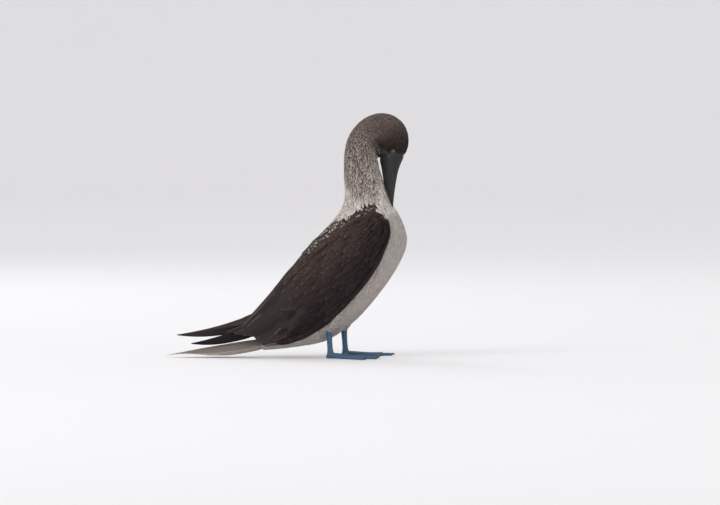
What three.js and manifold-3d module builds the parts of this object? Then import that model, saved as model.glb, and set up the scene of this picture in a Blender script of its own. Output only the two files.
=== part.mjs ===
// A blue-footed booby at life size, preening: upright on two webbed feet, neck arched over, bill
// laid down the front of the neck. The bird looks along +X, +Z is up and its right side is -Y.
// Sizes are in millimetres. The body is one loft along the spine, parted into trunk, neck and head.
import * as THREE from "three";
import { mergeVertices } from "three/addons/utils/BufferGeometryUtils.js";
import Module from "manifold-3d";

const wasm = await Module();
wasm.setup();

// Driving sizes
const SKIN_GAP = 0.3; // clear space between touching pieces
const LAY_ON = 3.4; // how far a wing stands off the trunk, so that its facets stay clear
const HEAD_TURN = THREE.MathUtils.degToRad(28); // crown turned to the right side
const HEAD_LEAN = THREE.MathUtils.degToRad(13.5); // bill tip swung to the right side
const HEAD_PIVOT = new THREE.Vector3(95, 0, 368);
const EYE_RADIUS = 7.2;
const EYE_AT = new THREE.Vector3(101.5, 15.4, 358);
const GAPE_SHARE = 0.1; // the mouth line, as a share of half the bill's depth below its middle
const TARSUS_TOP = 53; // height of the ankle joint
const SOLE_HEIGHT = 9; // height at which the shank meets the toes
const SHANK_FLARE = 8; // how far above that the shank starts to widen
const WEB_THICKNESS = 1.6;
const TOE_LENGTHS = { inner: 60, middle: 84, outer: 80, hind: 29 };

const paint = (colour, roughness, metalness = 0) =>
  new THREE.MeshStandardMaterial({ color: colour, roughness, metalness });
const FINISH = {
  white: paint("#cfc6bd", 0.9),
  streaked: paint("#8b7a70", 0.9),
  brown: paint("#43342f", 0.85),
  dark: paint("#2a2427", 0.8),
  tail: paint("#b3a594", 0.85),
  bill: paint("#3d4347", 0.45),
  blue: paint("#3f7ea3", 0.55),
  claw: paint("#2c3034", 0.4),
  eye: paint("#d8c98a", 0.1),
};

const at = (x, z, y = 0) => new THREE.Vector3(x, y, z);
const smooth = (x) => THREE.MathUtils.smoothstep(x, 0, 1);

// A curve through named stations, read by station number.
function track(points) {
  const curve = new THREE.CatmullRomCurve3(points, false, "centripetal");
  return (station) =>
    curve.getPoint(THREE.MathUtils.clamp(station / (points.length - 1), 0, 1));
}

// The same for one number at each station.
function measure(values) {
  return (station) => {
    const s = THREE.MathUtils.clamp(station, 0, values.length - 1);
    const i = Math.min(Math.floor(s), values.length - 2);
    const [a, b] = [values[i], values[i + 1]];
    const before = values[Math.max(i - 1, 0)];
    const after = values[Math.min(i + 2, values.length - 1)];
    const u = s - i;
    const [slopeA, slopeB] = [(b - before) / 2, (after - a) / 2];
    return (
      (2 * u ** 3 - 3 * u ** 2 + 1) * a +
      (u ** 3 - 2 * u ** 2 + u) * slopeA +
      (3 * u ** 2 - 2 * u ** 3) * b +
      (u ** 3 - u ** 2) * slopeB
    );
  };
}

// Joins rings of equally many points into a closed surface with a fan on each end.
function loft(rings) {
  const count = rings[0].length;
  const points = rings.flat();
  const faces = [];
  for (let r = 0; r + 1 < rings.length; r++)
    for (let i = 0; i < count; i++) {
      const j = (i + 1) % count;
      const [a, b] = [r * count + i, r * count + j];
      const [c, d] = [a + count, b + count];
      faces.push(a, b, d, a, d, c);
    }
  for (const [ring, first, flip] of [
    [rings[0], 0, true],
    [rings.at(-1), (rings.length - 1) * count, false],
  ]) {
    const middle = ring.reduce((s, p) => s.add(p), new THREE.Vector3());
    points.push(middle.divideScalar(count));
    for (let i = 0; i < count; i++) {
      const [a, b] = [first + i, first + ((i + 1) % count)];
      if (flip) faces.push(points.length - 1, b, a);
      else faces.push(points.length - 1, a, b);
    }
  }
  const geometry = new THREE.BufferGeometry().setFromPoints(points);
  geometry.setIndex(faces);
  return facingOut(geometry);
}

function signedVolume(geometry) {
  const p = geometry.getAttribute("position");
  const index = geometry.index.array;
  const [a, b, c] = [0, 1, 2].map(() => new THREE.Vector3());
  let sum = 0;
  for (let i = 0; i < index.length; i += 3) {
    a.fromBufferAttribute(p, index[i]);
    b.fromBufferAttribute(p, index[i + 1]);
    c.fromBufferAttribute(p, index[i + 2]);
    sum += a.dot(b.cross(c)) / 6;
  }
  return sum;
}

function facingOut(geometry) {
  if (signedVolume(geometry) < 0) {
    const index = geometry.index.array;
    for (let i = 0; i < index.length; i += 3)
      [index[i + 1], index[i + 2]] = [index[i + 2], index[i + 1]];
  }
  return geometry;
}

// Geometry to solid and back, for joining and cutting.
function solidOf(geometry) {
  const bare = new THREE.BufferGeometry();
  bare.setAttribute("position", geometry.getAttribute("position").clone());
  bare.setIndex(geometry.index);
  const merged = facingOut(mergeVertices(bare, 1e-4));
  return new wasm.Manifold(
    new wasm.Mesh({
      numProp: 3,
      vertProperties: new Float32Array(merged.getAttribute("position").array),
      triVerts: new Uint32Array(merged.index.array),
    }),
  );
}

function geometryOf(solid) {
  const mesh = solid.getMesh();
  const geometry = new THREE.BufferGeometry();
  const position = new Float32Array(mesh.vertProperties);
  geometry.setAttribute("position", new THREE.BufferAttribute(position, 3));
  geometry.setIndex(new THREE.BufferAttribute(mesh.triVerts.slice(), 1));
  return geometry;
}

const FACET_SLACK = 0.08; // facets smaller than this are merged after a cut
const largest = (solid) =>
  solid
    .decompose()
    .sort((a, b) => b.volume() - a.volume())[0]
    .simplify(FACET_SLACK);

// The solid with its clear space, to cut a neighbour with.
function roomAround(solid) {
  const g = SKIN_GAP;
  const steps = [
    [g, 0, 0],
    [-g, 0, 0],
    [0, g, 0],
    [0, -g, 0],
    [0, 0, g],
    [0, 0, -g],
  ];
  return steps.map((step) => solid.translate(step)).reduce((a, b) => a.add(b));
}

// Body loft: at each station the back line, the belly line and half the width.
// Stations 0 to 8 are trunk, 8 to 14 neck, 15 to 21 head; the last is the edge of the bill.
const BACK = track([
  at(-139, 33),
  at(-121, 49),
  at(-117, 77),
  at(-103, 116),
  at(-80.5, 158),
  at(-49, 198.5),
  at(-15.5, 232),
  at(5.5, 260),
  at(11.5, 279),
  at(11.5, 300),
  at(10.5, 321),
  at(10.5, 342),
  at(12, 363),
  at(17.5, 384),
  at(30, 405),
  at(50, 422.5),
  at(74, 430),
  at(98.5, 424),
  at(117, 407),
  at(124.5, 386),
  at(124, 368),
  at(119, 354),
]);
const BELLY = track([
  at(-131, 13),
  at(-104, 15),
  at(-63, 20),
  at(-21, 29),
  at(24.5, 59),
  at(68, 106),
  at(105, 160),
  at(121.5, 204),
  at(110, 244),
  at(90.5, 276),
  at(81, 304),
  at(73, 328.5),
  at(69.5, 345),
  at(67.5, 351.5),
  at(67.2, 354.3),
  at(67.5, 355.8),
  at(68.2, 356.4),
  at(68.9, 356.1),
  at(69.5, 355.1),
  at(70, 353.8),
  at(70.5, 352),
  at(71.2, 349.8),
]);
const HALF_WIDTH = measure([
  21, 24, 36, 49, 59, 64, 65, 59, 48, 39, 34, 31.5, 30.5, 30, 29.5, 28.5, 27, 26,
  25, 23.5, 20.5, 15.5,
]);
const STATIONS = { tail: 0, neck: 8.4, head: 15.2, bill: 21 };
const TURN = { from: 12.5, over: 5 }; // stations over which the head's turn sets in
const RINGS = { trunk: 20, neck: 14, head: 12, room: 24 };
const BODY_SIDES = 24;

// Turns a point of the head about the pivot; share 0 leaves it and 1 turns it in full.
function turnHead(point, share) {
  return point
    .sub(HEAD_PIVOT)
    .applyAxisAngle(at(0, 1), -HEAD_TURN * share)
    .applyAxisAngle(at(1, 0), -HEAD_LEAN * share)
    .add(HEAD_PIVOT);
}

function bodyFrame(station) {
  const [back, belly] = [BACK(station), BELLY(station)];
  const across = back.clone().sub(belly);
  const depth = across.length() / 2;
  const middle = back.add(belly).divideScalar(2);
  across.normalize();
  const along = new THREE.Vector3().crossVectors(at(0, 0, 1), across);
  return { middle, across, along, depth, width: HALF_WIDTH(station) };
}

function bodyRing(station, grow = 0, shift = 0) {
  const { middle, across, along, depth, width } = bodyFrame(station);
  const share = smooth((station - TURN.from) / TURN.over);
  return Array.from({ length: BODY_SIDES }, (_, i) => {
    const angle = (2 * Math.PI * i) / BODY_SIDES;
    const point = middle
      .clone()
      .addScaledVector(across, (depth + grow) * Math.cos(angle))
      .addScaledVector(along, shift)
      .add(at(0, 0, (width + grow) * Math.sin(angle)));
    return turnHead(point, share);
  });
}

function bodyLength(from, to, count, grow = 0) {
  const half = SKIN_GAP / 2;
  const rings = [];
  for (let i = 0; i <= count; i++) {
    const shift = i === 0 ? half : i === count ? -half : 0;
    rings.push(bodyRing(from + ((to - from) * i) / count, grow, shift));
  }
  return loft(rings);
}

const trunk = bodyLength(STATIONS.tail, STATIONS.neck, RINGS.trunk);
const neck = bodyLength(STATIONS.neck, STATIONS.head, RINGS.neck);
const roomForTrunk = solidOf(
  bodyLength(STATIONS.tail - 1, STATIONS.neck + 0.2, RINGS.room, SKIN_GAP + 0.1),
);

// Eyes, set into the head
function eyeGeometry(side, grow = 0) {
  const ball = new THREE.SphereGeometry(EYE_RADIUS + grow, 12, 8);
  const centre = at(EYE_AT.x, EYE_AT.z, side * EYE_AT.y);
  turnHead(centre, 1);
  return ball.translate(centre.x, centre.y, centre.z);
}
const SIDES = { left: 1, right: -1 };
const head = geometryOf(
  Object.values(SIDES).reduce(
    (solid, side) => solid.subtract(solidOf(eyeGeometry(side, SKIN_GAP))),
    solidOf(bodyLength(STATIONS.head, STATIONS.bill, RINGS.head)),
  ),
);

// Bill: ridge line, underside line and half width from the face to the tip
const RIDGE = track([
  at(118.5, 352.5),
  at(112, 340),
  at(106.3, 326),
  at(102.8, 310),
  at(99.8, 293),
  at(97.8, 277),
  at(96.6, 264.5),
]);
const UNDERSIDE = track([
  at(70.4, 348),
  at(73.4, 336.5),
  at(75.6, 324.5),
  at(77.8, 310),
  at(82, 293),
  at(87.8, 277),
  at(93, 264.5),
]);
const BILL_HALF_WIDTH = measure([14.6, 12.2, 9.8, 7.8, 5.6, 3.4, 1.7]);
const BILL_TIP = at(95, 257.5);
const BILL_SIDES = 12;
const TIP_DRAW = 0.82; // how far the last ring is drawn towards the tip

// One half of the bill: the upper runs over the ridge, the lower under the chin.
function billHalf(upper) {
  const way = upper ? 1 : -1;
  const rings = [];
  for (let i = 0; i <= 12; i++) {
    const station = i / 2;
    const [ridge, under] = [RIDGE(station), UNDERSIDE(station)];
    const across = ridge.clone().sub(under);
    const depth = across.length() / 2;
    across.normalize();
    const width = BILL_HALF_WIDTH(station);
    const centre = ridge.add(under).divideScalar(2);
    const mouth = -GAPE_SHARE * depth + (way * SKIN_GAP) / 2;
    const start = Math.asin(mouth / depth);
    const [from, to] = upper ? [start, Math.PI - start] : [start, -Math.PI - start];
    rings.push(
      Array.from({ length: BILL_SIDES }, (_, k) => {
        const angle = from + ((to - from) * k) / (BILL_SIDES - 1);
        const point = centre
          .clone()
          .addScaledVector(across, depth * Math.sin(angle))
          .add(at(0, 0, width * Math.cos(angle)));
        return turnHead(point, 1);
      }),
    );
  }
  const tip = turnHead(BILL_TIP.clone(), 1);
  const last = rings.at(-1);
  rings.push(last.map((p) => p.clone().lerp(tip, TIP_DRAW).lerp(last[0], 0.02)));
  return loft(rings);
}

// Wings: upper and lower edge of the folded arm, from the wrist at the breast to the rump
const WING_UPPER = track([
  at(78, 254),
  at(60, 257),
  at(35, 249),
  at(10.5, 235),
  at(-14, 216),
  at(-38.5, 195),
  at(-61, 174),
  at(-82, 153),
  at(-102, 131),
  at(-121, 106),
  at(-138, 85),
  at(-153, 69),
  at(-166, 56),
]);
const WING_LOWER = track([
  at(91, 239),
  at(93, 220),
  at(88.5, 200),
  at(80.5, 179),
  at(65, 151),
  at(47, 127),
  at(24.5, 101),
  at(0, 76.5),
  at(-28, 53),
  at(-58, 36),
  at(-86, 25),
  at(-114, 19),
  at(-141, 21),
]);
const WING_THICKNESS = measure([5, 9, 11, 11.5, 11.5, 11, 10, 9, 8, 7, 6, 5, 4]);
const WING_TOP_OUT = measure([20, 20, 20, 20, 20, 20, 19, 17, 15, 13, 11, 9, 8]);
const WING_FOOT_OUT = measure([34, 36, 36, 36, 36, 36, 36, 35, 34, 32, 30, 28, 22]);
const WING_EDGE = 1.4;
const WING_ROWS = 6;

// How far out the trunk's side lies at a point of the side view.
const SPINE = Array.from({ length: 241 }, (_, i) => bodyFrame((i / 240) * 9.5));
function trunkSide(x, z, grow) {
  const point = at(x, z);
  let best = null;
  let before = null;
  for (const f of SPINE) {
    const gap = point.clone().sub(f.middle).dot(f.along);
    if (before !== null && before > 0 !== gap > 0) {
      const away = point.distanceTo(f.middle);
      if (!best || away < best.away) best = { f, away };
    }
    before = gap;
  }
  if (!best) return 0;
  const { f } = best;
  const share = point.clone().sub(f.middle).dot(f.across) / (f.depth + grow);
  return Math.abs(share) < 1 ? (f.width + grow) * Math.sqrt(1 - share ** 2) : 0;
}

function wing(side) {
  const rings = [];
  const STEPS = 18;
  const LAST = 12;
  for (let i = 0; i <= STEPS; i++) {
    const station = (LAST * i) / STEPS;
    const [upper, lower] = [WING_UPPER(station), WING_LOWER(station)];
    const [outer, inner] = [[], []];
    for (let k = 0; k <= WING_ROWS; k++) {
      const v = k / WING_ROWS;
      const p = upper.clone().lerp(lower, v);
      const rest = THREE.MathUtils.lerp(
        WING_TOP_OUT(station),
        WING_FOOT_OUT(station),
        Math.sqrt(v),
      );
      const lie = Math.max(trunkSide(p.x, p.z, LAY_ON), rest);
      const belly = Math.sqrt(4 * v * (1 - v));
      const thick = WING_EDGE + (WING_THICKNESS(station) - WING_EDGE) * belly;
      outer.push(at(p.x, p.z, side * (lie + thick)));
      inner.unshift(at(p.x, p.z, side * lie));
    }
    rings.push([...outer, ...inner]);
  }
  return solidOf(loft(rings));
}

// Flight feathers: the closed fan of primaries behind each wing, and the tail
function blade(centreLine, halfHeight, thickness, steps) {
  const SECTION = 10;
  const rings = [];
  const last = halfHeight.length - 1;
  const [height, thick] = [measure(halfHeight), measure(thickness)];
  for (let i = 0; i <= steps; i++) {
    const station = (last * i) / steps;
    const centre = centreLine(station);
    const ahead = centreLine(Math.min(station + 0.05, last));
    const along = ahead.sub(centreLine(Math.max(station - 0.05, 0))).normalize();
    const up = new THREE.Vector3().crossVectors(along, at(0, 0, 1)).normalize();
    if (up.z < 0) up.negate();
    rings.push(
      Array.from({ length: SECTION }, (_, k) => {
        const angle = (2 * Math.PI * k) / SECTION;
        return centre
          .clone()
          .addScaledVector(up, height(station) * Math.cos(angle))
          .add(at(0, 0, thick(station) * Math.sin(angle)));
      }),
    );
  }
  return loft(rings);
}
const PRIMARIES = {
  right: {
    line: [
      at(-156, 43, -5),
      at(-178, 37.5, -7.5),
      at(-205, 32.5, -9.5),
      at(-232, 29, -9),
      at(-256, 27, -7),
    ],
    height: [8, 9.5, 8.5, 4.8, 0.6],
  },
  left: {
    line: [
      at(-157, 58, 4.2),
      at(-184, 51, 8),
      at(-215, 46, 9.5),
      at(-248, 43, 8),
      at(-281, 41.5, 6.5),
    ],
    height: [8, 11, 9.5, 4.8, 0.6],
  },
};
const PRIMARY_THICKNESS = [2.6, 2.2, 1.6, 1.1, 0.5];

const TAIL_TOP = track([
  at(-140, 30),
  at(-168, 27),
  at(-205, 21.5),
  at(-245, 15),
  at(-280, 8.5),
  at(-306, 2.2),
]);
const TAIL_UNDER = track([
  at(-135, 17),
  at(-165, 7),
  at(-203, 1.5),
  at(-240, 0),
  at(-280, 0),
  at(-306, 0.6),
]);
const TAIL_HALF_WIDTH = measure([14, 18, 20, 17, 10.5, 1.6]);
const TAIL_ROOF = 0.85; // 1 is a straight-sided roof, less is rounder

function tailGeometry() {
  const STEPS = 20;
  const LAST = 5;
  const rings = [];
  for (let i = 0; i <= STEPS; i++) {
    const station = (LAST * i) / STEPS;
    const [top, under] = [TAIL_TOP(station), TAIL_UNDER(station)];
    under.z = Math.max(under.z, 0);
    const width = TAIL_HALF_WIDTH(station);
    const across = [-1, -0.8, -0.45, 0, 0.45, 0.8, 1];
    const edge = under.clone().lerp(top, 0.3);
    const upper = across.map((s) => {
      const p = edge.clone().lerp(top, (1 - Math.abs(s)) ** TAIL_ROOF);
      return p.add(at(0, 0, s * width));
    });
    const lower = across
      .slice(1, -1)
      .reverse()
      .map((s) => under.clone().add(at(0, 0, s * width * 0.96)));
    rings.push([...upper, ...lower]);
  }
  return loft(rings);
}

// Legs. A string of balls of changing size, hulled in pairs, makes a rounded limb.
function limb(joints, sides = 10) {
  const balls = joints.map(([x, y, z, r]) =>
    solidOf(new THREE.SphereGeometry(r, sides, sides / 2).translate(x, y, z)),
  );
  return balls
    .slice(1)
    .map((ball, i) => wasm.Manifold.hull([balls[i], ball]))
    .reduce((a, b) => a.add(b));
}

const LEGS = {
  right: { foot: at(-13, 0, -31), hip: at(-10, 74, -31), yaw: -24 },
  left: { foot: at(13, 0, 31), hip: at(13, 80, 31), yaw: 21 },
};

function thigh(leg) {
  const { foot, hip } = leg;
  const shape = limb([
    [hip.x, hip.y, hip.z, 20],
    [foot.x - 2, foot.y * 1.08, TARSUS_TOP + 7, 13],
    [foot.x - 2.5, foot.y, TARSUS_TOP + 1, 8.5],
  ]);
  return largest(shape.subtract(roomForTrunk));
}

function tarsus({ foot }) {
  const ankle = TARSUS_TOP;
  return limb([
    [foot.x - 3, foot.y, ankle, 6.8],
    [foot.x - 2.6, foot.y, ankle - 7, 5.7],
    [foot.x - 1.5, foot.y, ankle - 24, 4.9],
    [foot.x - 0.6, foot.y, SOLE_HEIGHT + SHANK_FLARE, 5],
    [foot.x, foot.y, SOLE_HEIGHT, 6.1],
  ]);
}

// Toes spread from the ball of the foot: angle from straight ahead, turned inwards if positive.
const TOES = [
  { name: "hind", angle: 104, length: TOE_LENGTHS.hind, root: 3.6 },
  { name: "inner", angle: 31, length: TOE_LENGTHS.inner, root: 4.2 },
  { name: "middle", angle: 4, length: TOE_LENGTHS.middle, root: 4.6 },
  { name: "outer", angle: -19, length: TOE_LENGTHS.outer, root: 4.2 },
];
const TOE_END_RADIUS = 2.7;
const CLAW_LENGTH = 6.9;
const CLAW_HEIGHT = 3; // height of its root above the floor

function toeWay(leg, side, toe) {
  const turn = THREE.MathUtils.degToRad(leg.yaw - side * toe.angle);
  return new THREE.Vector3(Math.cos(turn), Math.sin(turn), 0);
}

function toeEnd(leg, side, toe) {
  return leg.foot.clone().addScaledVector(toeWay(leg, side, toe), toe.length);
}

function toeSolid(leg, side, toe) {
  const JOINTS = 3;
  const way = toeWay(leg, side, toe);
  const joints = [];
  for (let i = 0; i <= JOINTS; i++) {
    const t = i / JOINTS;
    const radius = THREE.MathUtils.lerp(toe.root, TOE_END_RADIUS, t);
    const knuckle = i % 2 ? 0.35 : 0;
    const p = leg.foot.clone().addScaledVector(way, toe.length * t);
    const height = radius - 0.7 + 2.2 * (1 - t) ** 3;
    joints.push([p.x, p.y, height, radius + knuckle]);
  }
  return limb(joints, 8);
}

// The web between two neighbouring toes, with its free edge drawn in.
function webSolid(leg, side, first, second) {
  const reach = 0.93;
  const outline = [leg.foot.clone()];
  const EDGE = 5;
  for (let i = 0; i <= EDGE; i++) {
    const t = i / EDGE;
    const drawnIn = 1 - 0.52 * t * (1 - t);
    const angle = THREE.MathUtils.lerp(first.angle, second.angle, t);
    const length = THREE.MathUtils.lerp(first.length, second.length, t);
    const way = toeWay(leg, side, { angle });
    outline.push(leg.foot.clone().addScaledVector(way, length * reach * drawnIn));
  }
  const shape = new THREE.Shape(outline.map((p) => new THREE.Vector2(p.x, p.y)));
  const web = new THREE.ExtrudeGeometry(shape, {
    depth: WEB_THICKNESS,
    bevelEnabled: false,
  });
  const indexed = mergeVertices(web.deleteAttribute("normal").deleteAttribute("uv"));
  return solidOf(indexed.translate(0, 0, 0.5));
}

// A wide level slab that starts at a height and goes up (way 1) or down (way -1).
const SLAB = { length: 900, breadth: 400, depth: 60 };
function slab(height, way) {
  const shape = new THREE.BoxGeometry(SLAB.length, SLAB.breadth, SLAB.depth)
    .translate(0, 0, height + (way * SLAB.depth) / 2)
    .deleteAttribute("normal")
    .deleteAttribute("uv");
  return solidOf(mergeVertices(shape));
}
const floorCut = slab(0, -1);

function foot(leg, side) {
  let solid = limb([
    [leg.foot.x - 4, leg.foot.y, 3.2, 4.4],
    [leg.foot.x + 1, leg.foot.y, 3.6, 5.2],
  ]);
  for (const toe of TOES) solid = solid.add(toeSolid(leg, side, toe));
  for (let i = 0; i + 1 < TOES.length; i++)
    solid = solid.add(webSolid(leg, side, TOES[i], TOES[i + 1]));
  return largest(solid.subtract(floorCut));
}

function claw(leg, side, toe) {
  const way = toeWay(leg, side, toe);
  const end = toeEnd(leg, side, toe);
  const rings = [];
  const STEPS = 4;
  for (let i = 0; i <= STEPS; i++) {
    const t = i / STEPS;
    const bend = t * 1.05;
    const out = TOE_END_RADIUS + SKIN_GAP + CLAW_LENGTH * Math.sin(bend);
    const height = CLAW_HEIGHT + 0.9 * Math.sin(t * Math.PI) - 2.1 * t ** 2;
    const centre = end.clone().addScaledVector(way, out).setZ(height);
    const radius = 1.9 * (1 - t) ** 0.8 + 0.25;
    const side2 = new THREE.Vector3(-way.y, way.x, 0);
    rings.push(
      Array.from({ length: 6 }, (_, k) => {
        const angle = (2 * Math.PI * k) / 6;
        return centre
          .clone()
          .addScaledVector(side2, radius * 0.8 * Math.sin(angle))
          .add(at(0, radius * Math.cos(angle)));
      }),
    );
  }
  return solidOf(loft(rings));
}

// Assembly
const bird = new THREE.Group();
function add(name, geometry, finish) {
  const flat = geometry.toNonIndexed();
  flat.computeVertexNormals();
  const mesh = new THREE.Mesh(flat, finish);
  mesh.name = name;
  bird.add(mesh);
}

add("trunk", trunk, FINISH.white);
add("neck", neck, FINISH.streaked);
add("head", head, FINISH.streaked);
add("bill_upper", billHalf(true), FINISH.bill);
add("bill_lower", billHalf(false), FINISH.bill);
const tail = tailGeometry();
add("tail", geometryOf(solidOf(tail).subtract(roomForTrunk)), FINISH.tail);

for (const [name, side] of Object.entries(SIDES)) {
  add(`eye_${name}`, eyeGeometry(side), FINISH.eye);
  const wingSolid = wing(side);
  add(`wing_${name}`, geometryOf(wingSolid), FINISH.brown);
  const { line, height } = PRIMARIES[name];
  const fan = blade(track(line), height, PRIMARY_THICKNESS, 12);
  add(`primaries_${name}`, fan, FINISH.dark);

  const leg = LEGS[name];
  const shank = tarsus(leg);
  const footSolid = foot(leg, side);
  const thighSolid = largest(thigh(leg).subtract(roomAround(shank)).subtract(roomAround(wingSolid)));
  add(`thigh_${name}`, geometryOf(thighSolid), FINISH.white);
  const shankAbove = limb([
    [leg.foot.x - 0.6, leg.foot.y, SOLE_HEIGHT + SHANK_FLARE, 5.4],
    [leg.foot.x, leg.foot.y, SOLE_HEIGHT, 6.5],
  ]).intersect(slab(SOLE_HEIGHT - SKIN_GAP / 2, 1));
  const footRoom = slab(SOLE_HEIGHT + SKIN_GAP / 2, -1);
  const bareShank = largest(shank.subtract(footRoom).subtract(roomForTrunk));
  add(`tarsus_${name}`, geometryOf(bareShank), FINISH.blue);
  const toesAlone = largest(footSolid.subtract(shankAbove));
  add(`foot_${name}`, geometryOf(toesAlone), FINISH.blue);
  for (const toe of TOES) {
    const nail = claw(leg, side, toe).subtract(floorCut);
    add(`claw_${name}_${toe.name}`, geometryOf(largest(nail)), FINISH.claw);
  }
}

// The origin is on the floor, under the middle of the bird's length and width.
const box = new THREE.Box3().setFromObject(bird);
const middle = box.getCenter(new THREE.Vector3());
bird.position.set(-middle.x, -middle.y, -box.min.z);
const whole = new THREE.Group();
whole.add(bird);

export default whole;
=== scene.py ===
"""A blue-footed booby at life size, upright with its neck arched and its bill laid down the neck.

One skin stands for all the flesh. Bill, eyes, lids and claws are pieces of their own, and every
feather is a thin closed vane that starts in the skin and follows the lie of the plumage.
Measures named in millimetres are turned into the frame's metres by Place.
"""

from __future__ import annotations

import logging
import math
from collections.abc import Callable, Iterable, Sequence
from dataclasses import dataclass, field, replace
from enum import Enum

import bmesh
import bpy
import numpy as np
from mathutils import Matrix, Vector
from mathutils.bvhtree import BVHTree
from mathutils.kdtree import KDTree


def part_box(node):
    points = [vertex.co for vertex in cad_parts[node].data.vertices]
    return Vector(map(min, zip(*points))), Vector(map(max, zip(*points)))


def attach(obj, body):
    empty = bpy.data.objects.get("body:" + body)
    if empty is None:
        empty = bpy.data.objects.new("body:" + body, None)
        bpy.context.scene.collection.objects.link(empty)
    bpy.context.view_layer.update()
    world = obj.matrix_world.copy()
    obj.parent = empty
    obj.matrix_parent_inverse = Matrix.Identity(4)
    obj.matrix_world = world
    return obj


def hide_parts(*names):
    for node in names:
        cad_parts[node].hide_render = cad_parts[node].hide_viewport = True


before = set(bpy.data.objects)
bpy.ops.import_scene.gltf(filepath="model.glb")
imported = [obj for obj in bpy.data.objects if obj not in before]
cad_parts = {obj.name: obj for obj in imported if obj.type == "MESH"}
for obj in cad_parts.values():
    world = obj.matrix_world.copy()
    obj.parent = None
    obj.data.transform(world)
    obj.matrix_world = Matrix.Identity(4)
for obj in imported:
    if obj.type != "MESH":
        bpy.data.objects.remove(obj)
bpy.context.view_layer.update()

LOG = logging.getLogger("booby")
MM = 0.001
BODY = "root"

# The photograph: 720 by 505 pixels, 1.75 mm to a pixel at the bird.
PHOTO_WIDTH = 720
PHOTO_CENTRE = (360.0, 252.5)
PIXEL = 1.75
FLOOR_ROW = 357.5
ORIGIN_COLUMN = 338.0
CAMERA_DISTANCE = 9.0
CAMERA_RISE = math.radians(2.0)

# Measures shared by several pieces, in millimetres
TAIL_REACH = 306.05
CLEAR_OF_FLOOR = 0.3
EYE_RADIUS = 7.2
HEAD_TURN = math.radians(28)
HEAD_LEAN = math.radians(13.5)
HEAD_PIVOT = (95, 368)

Triple = tuple[float, float, float]
Array = np.ndarray


class Side(Enum):
    """The two sides of the bird, with the sign of Y on each."""

    LEFT = 1
    RIGHT = -1

    @property
    def word(self) -> str:
        """The side's name as the frame spells it."""
        return self.name.lower()


class Place:
    """Turns the bird's own measures (x forward, z up, y left, mm) into the frame."""

    def __init__(self) -> None:
        """Finds the origin from the tail's tip and the middle of the trunk."""
        trunk_low, trunk_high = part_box("trunk")
        self.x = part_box("tail")[0].x + TAIL_REACH * MM
        self.y = (trunk_low.y + trunk_high.y) / 2

    def at(self, x: float, z: float, y: float = 0.0) -> Vector:
        """The frame's point for one measured point."""
        return Vector((self.x + x * MM, self.y + y * MM, z * MM))

    def all(self, points: Iterable[Sequence[float]]) -> Array:
        """The same for a list of (x, z) or (x, z, y)."""
        return np.array([self.at(*point) for point in points])


PLACE = Place()


def ramp(value: Array, low: float, high: float) -> Array:
    """A smooth rise from 0 at low to 1 at high."""
    share = np.clip((value - low) / (high - low), 0.0, 1.0)
    return share * share * (3 - 2 * share)


def unit(vectors: Array) -> Array:
    """The vectors, each made one long."""
    return vectors / np.maximum(np.linalg.norm(vectors, axis=-1, keepdims=True), 1e-12)


def read_line(line: Array, marks: Array, places: Array) -> Array:
    """The points at places along a line, when its own points stand at marks."""
    return np.stack([np.interp(places, marks, line[:, k]) for k in range(3)], axis=-1)


def smooth_track(points: Array, count: int) -> Array:
    """A Catmull-Rom curve through points, evenly spaced along its length.

    Args:
        points: the points it passes, one a row.
        count: how many points to give back.

    Returns:
        The spaced points.
    """
    padded = np.vstack([2 * points[0] - points[1], points, 2 * points[-1] - points[-2]])
    fine = []
    for i in range(1, len(padded) - 2):
        a, b, c, d = padded[i - 1 : i + 3]
        t = np.linspace(0, 1, 24, endpoint=False)[:, None]
        fine.append(
            0.5
            * (2 * b + (c - a) * t + (2 * a - 5 * b + 4 * c - d) * t**2 + (3 * b - a - 3 * c + d) * t**3)
        )
    fine = np.vstack([*fine, padded[-2][None]])
    step = np.concatenate([[0], np.cumsum(np.linalg.norm(np.diff(fine, axis=0), axis=1))])
    return read_line(fine, step, np.linspace(0, step[-1], count))


class Socket:
    """A number socket of a shader, for writing its maths as expressions."""

    def __init__(self, recipe: Recipe, socket: bpy.types.NodeSocket) -> None:
        """Wraps one output socket of a recipe."""
        self.recipe = recipe
        self.socket = socket

    def maths(self, operation: str, *others: Socket | float) -> Socket:
        """Adds a Math node.

        Args:
            operation: the node's operation.
            others: what it takes after this socket.

        Returns:
            Its result.
        """
        inputs = {i: other for i, other in enumerate((self, *others))}
        made = self.recipe.node("ShaderNodeMath", {"operation": operation}, inputs)
        return Socket(self.recipe, made.outputs[0])

    def __add__(self, other: Socket | float) -> Socket:
        """self + other"""
        return self.maths("ADD", other)

    __radd__ = __add__

    def __mul__(self, other: Socket | float) -> Socket:
        """self * other"""
        return self.maths("MULTIPLY", other)

    __rmul__ = __mul__

    def __sub__(self, other: Socket | float) -> Socket:
        """self - other"""
        return self.maths("SUBTRACT", other)

    def __rsub__(self, other: float) -> Socket:
        """other - self"""
        return self.maths("MULTIPLY", -1.0) + other

    def __truediv__(self, other: Socket | float) -> Socket:
        """self / other"""
        return self.maths("DIVIDE", other)

    def __abs__(self) -> Socket:
        """abs(self)"""
        return self.maths("ABSOLUTE")

    def sine(self) -> Socket:
        """The sine."""
        return self.maths("SINE")

    def most(self, other: Socket | float) -> Socket:
        """The larger of two."""
        return self.maths("MAXIMUM", other)

    def between(self, low: float, high: float) -> Socket:
        """Maps this socket to a smooth rise.

        Args:
            low: where the rise starts, from 0.
            high: where it ends, at 1.

        Returns:
            The mapped socket.
        """
        settings = {"interpolation_type": "SMOOTHSTEP"}
        made = self.recipe.node("ShaderNodeMapRange", settings, {0: self, 1: low, 2: high})
        return Socket(self.recipe, made.outputs[0])


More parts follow.
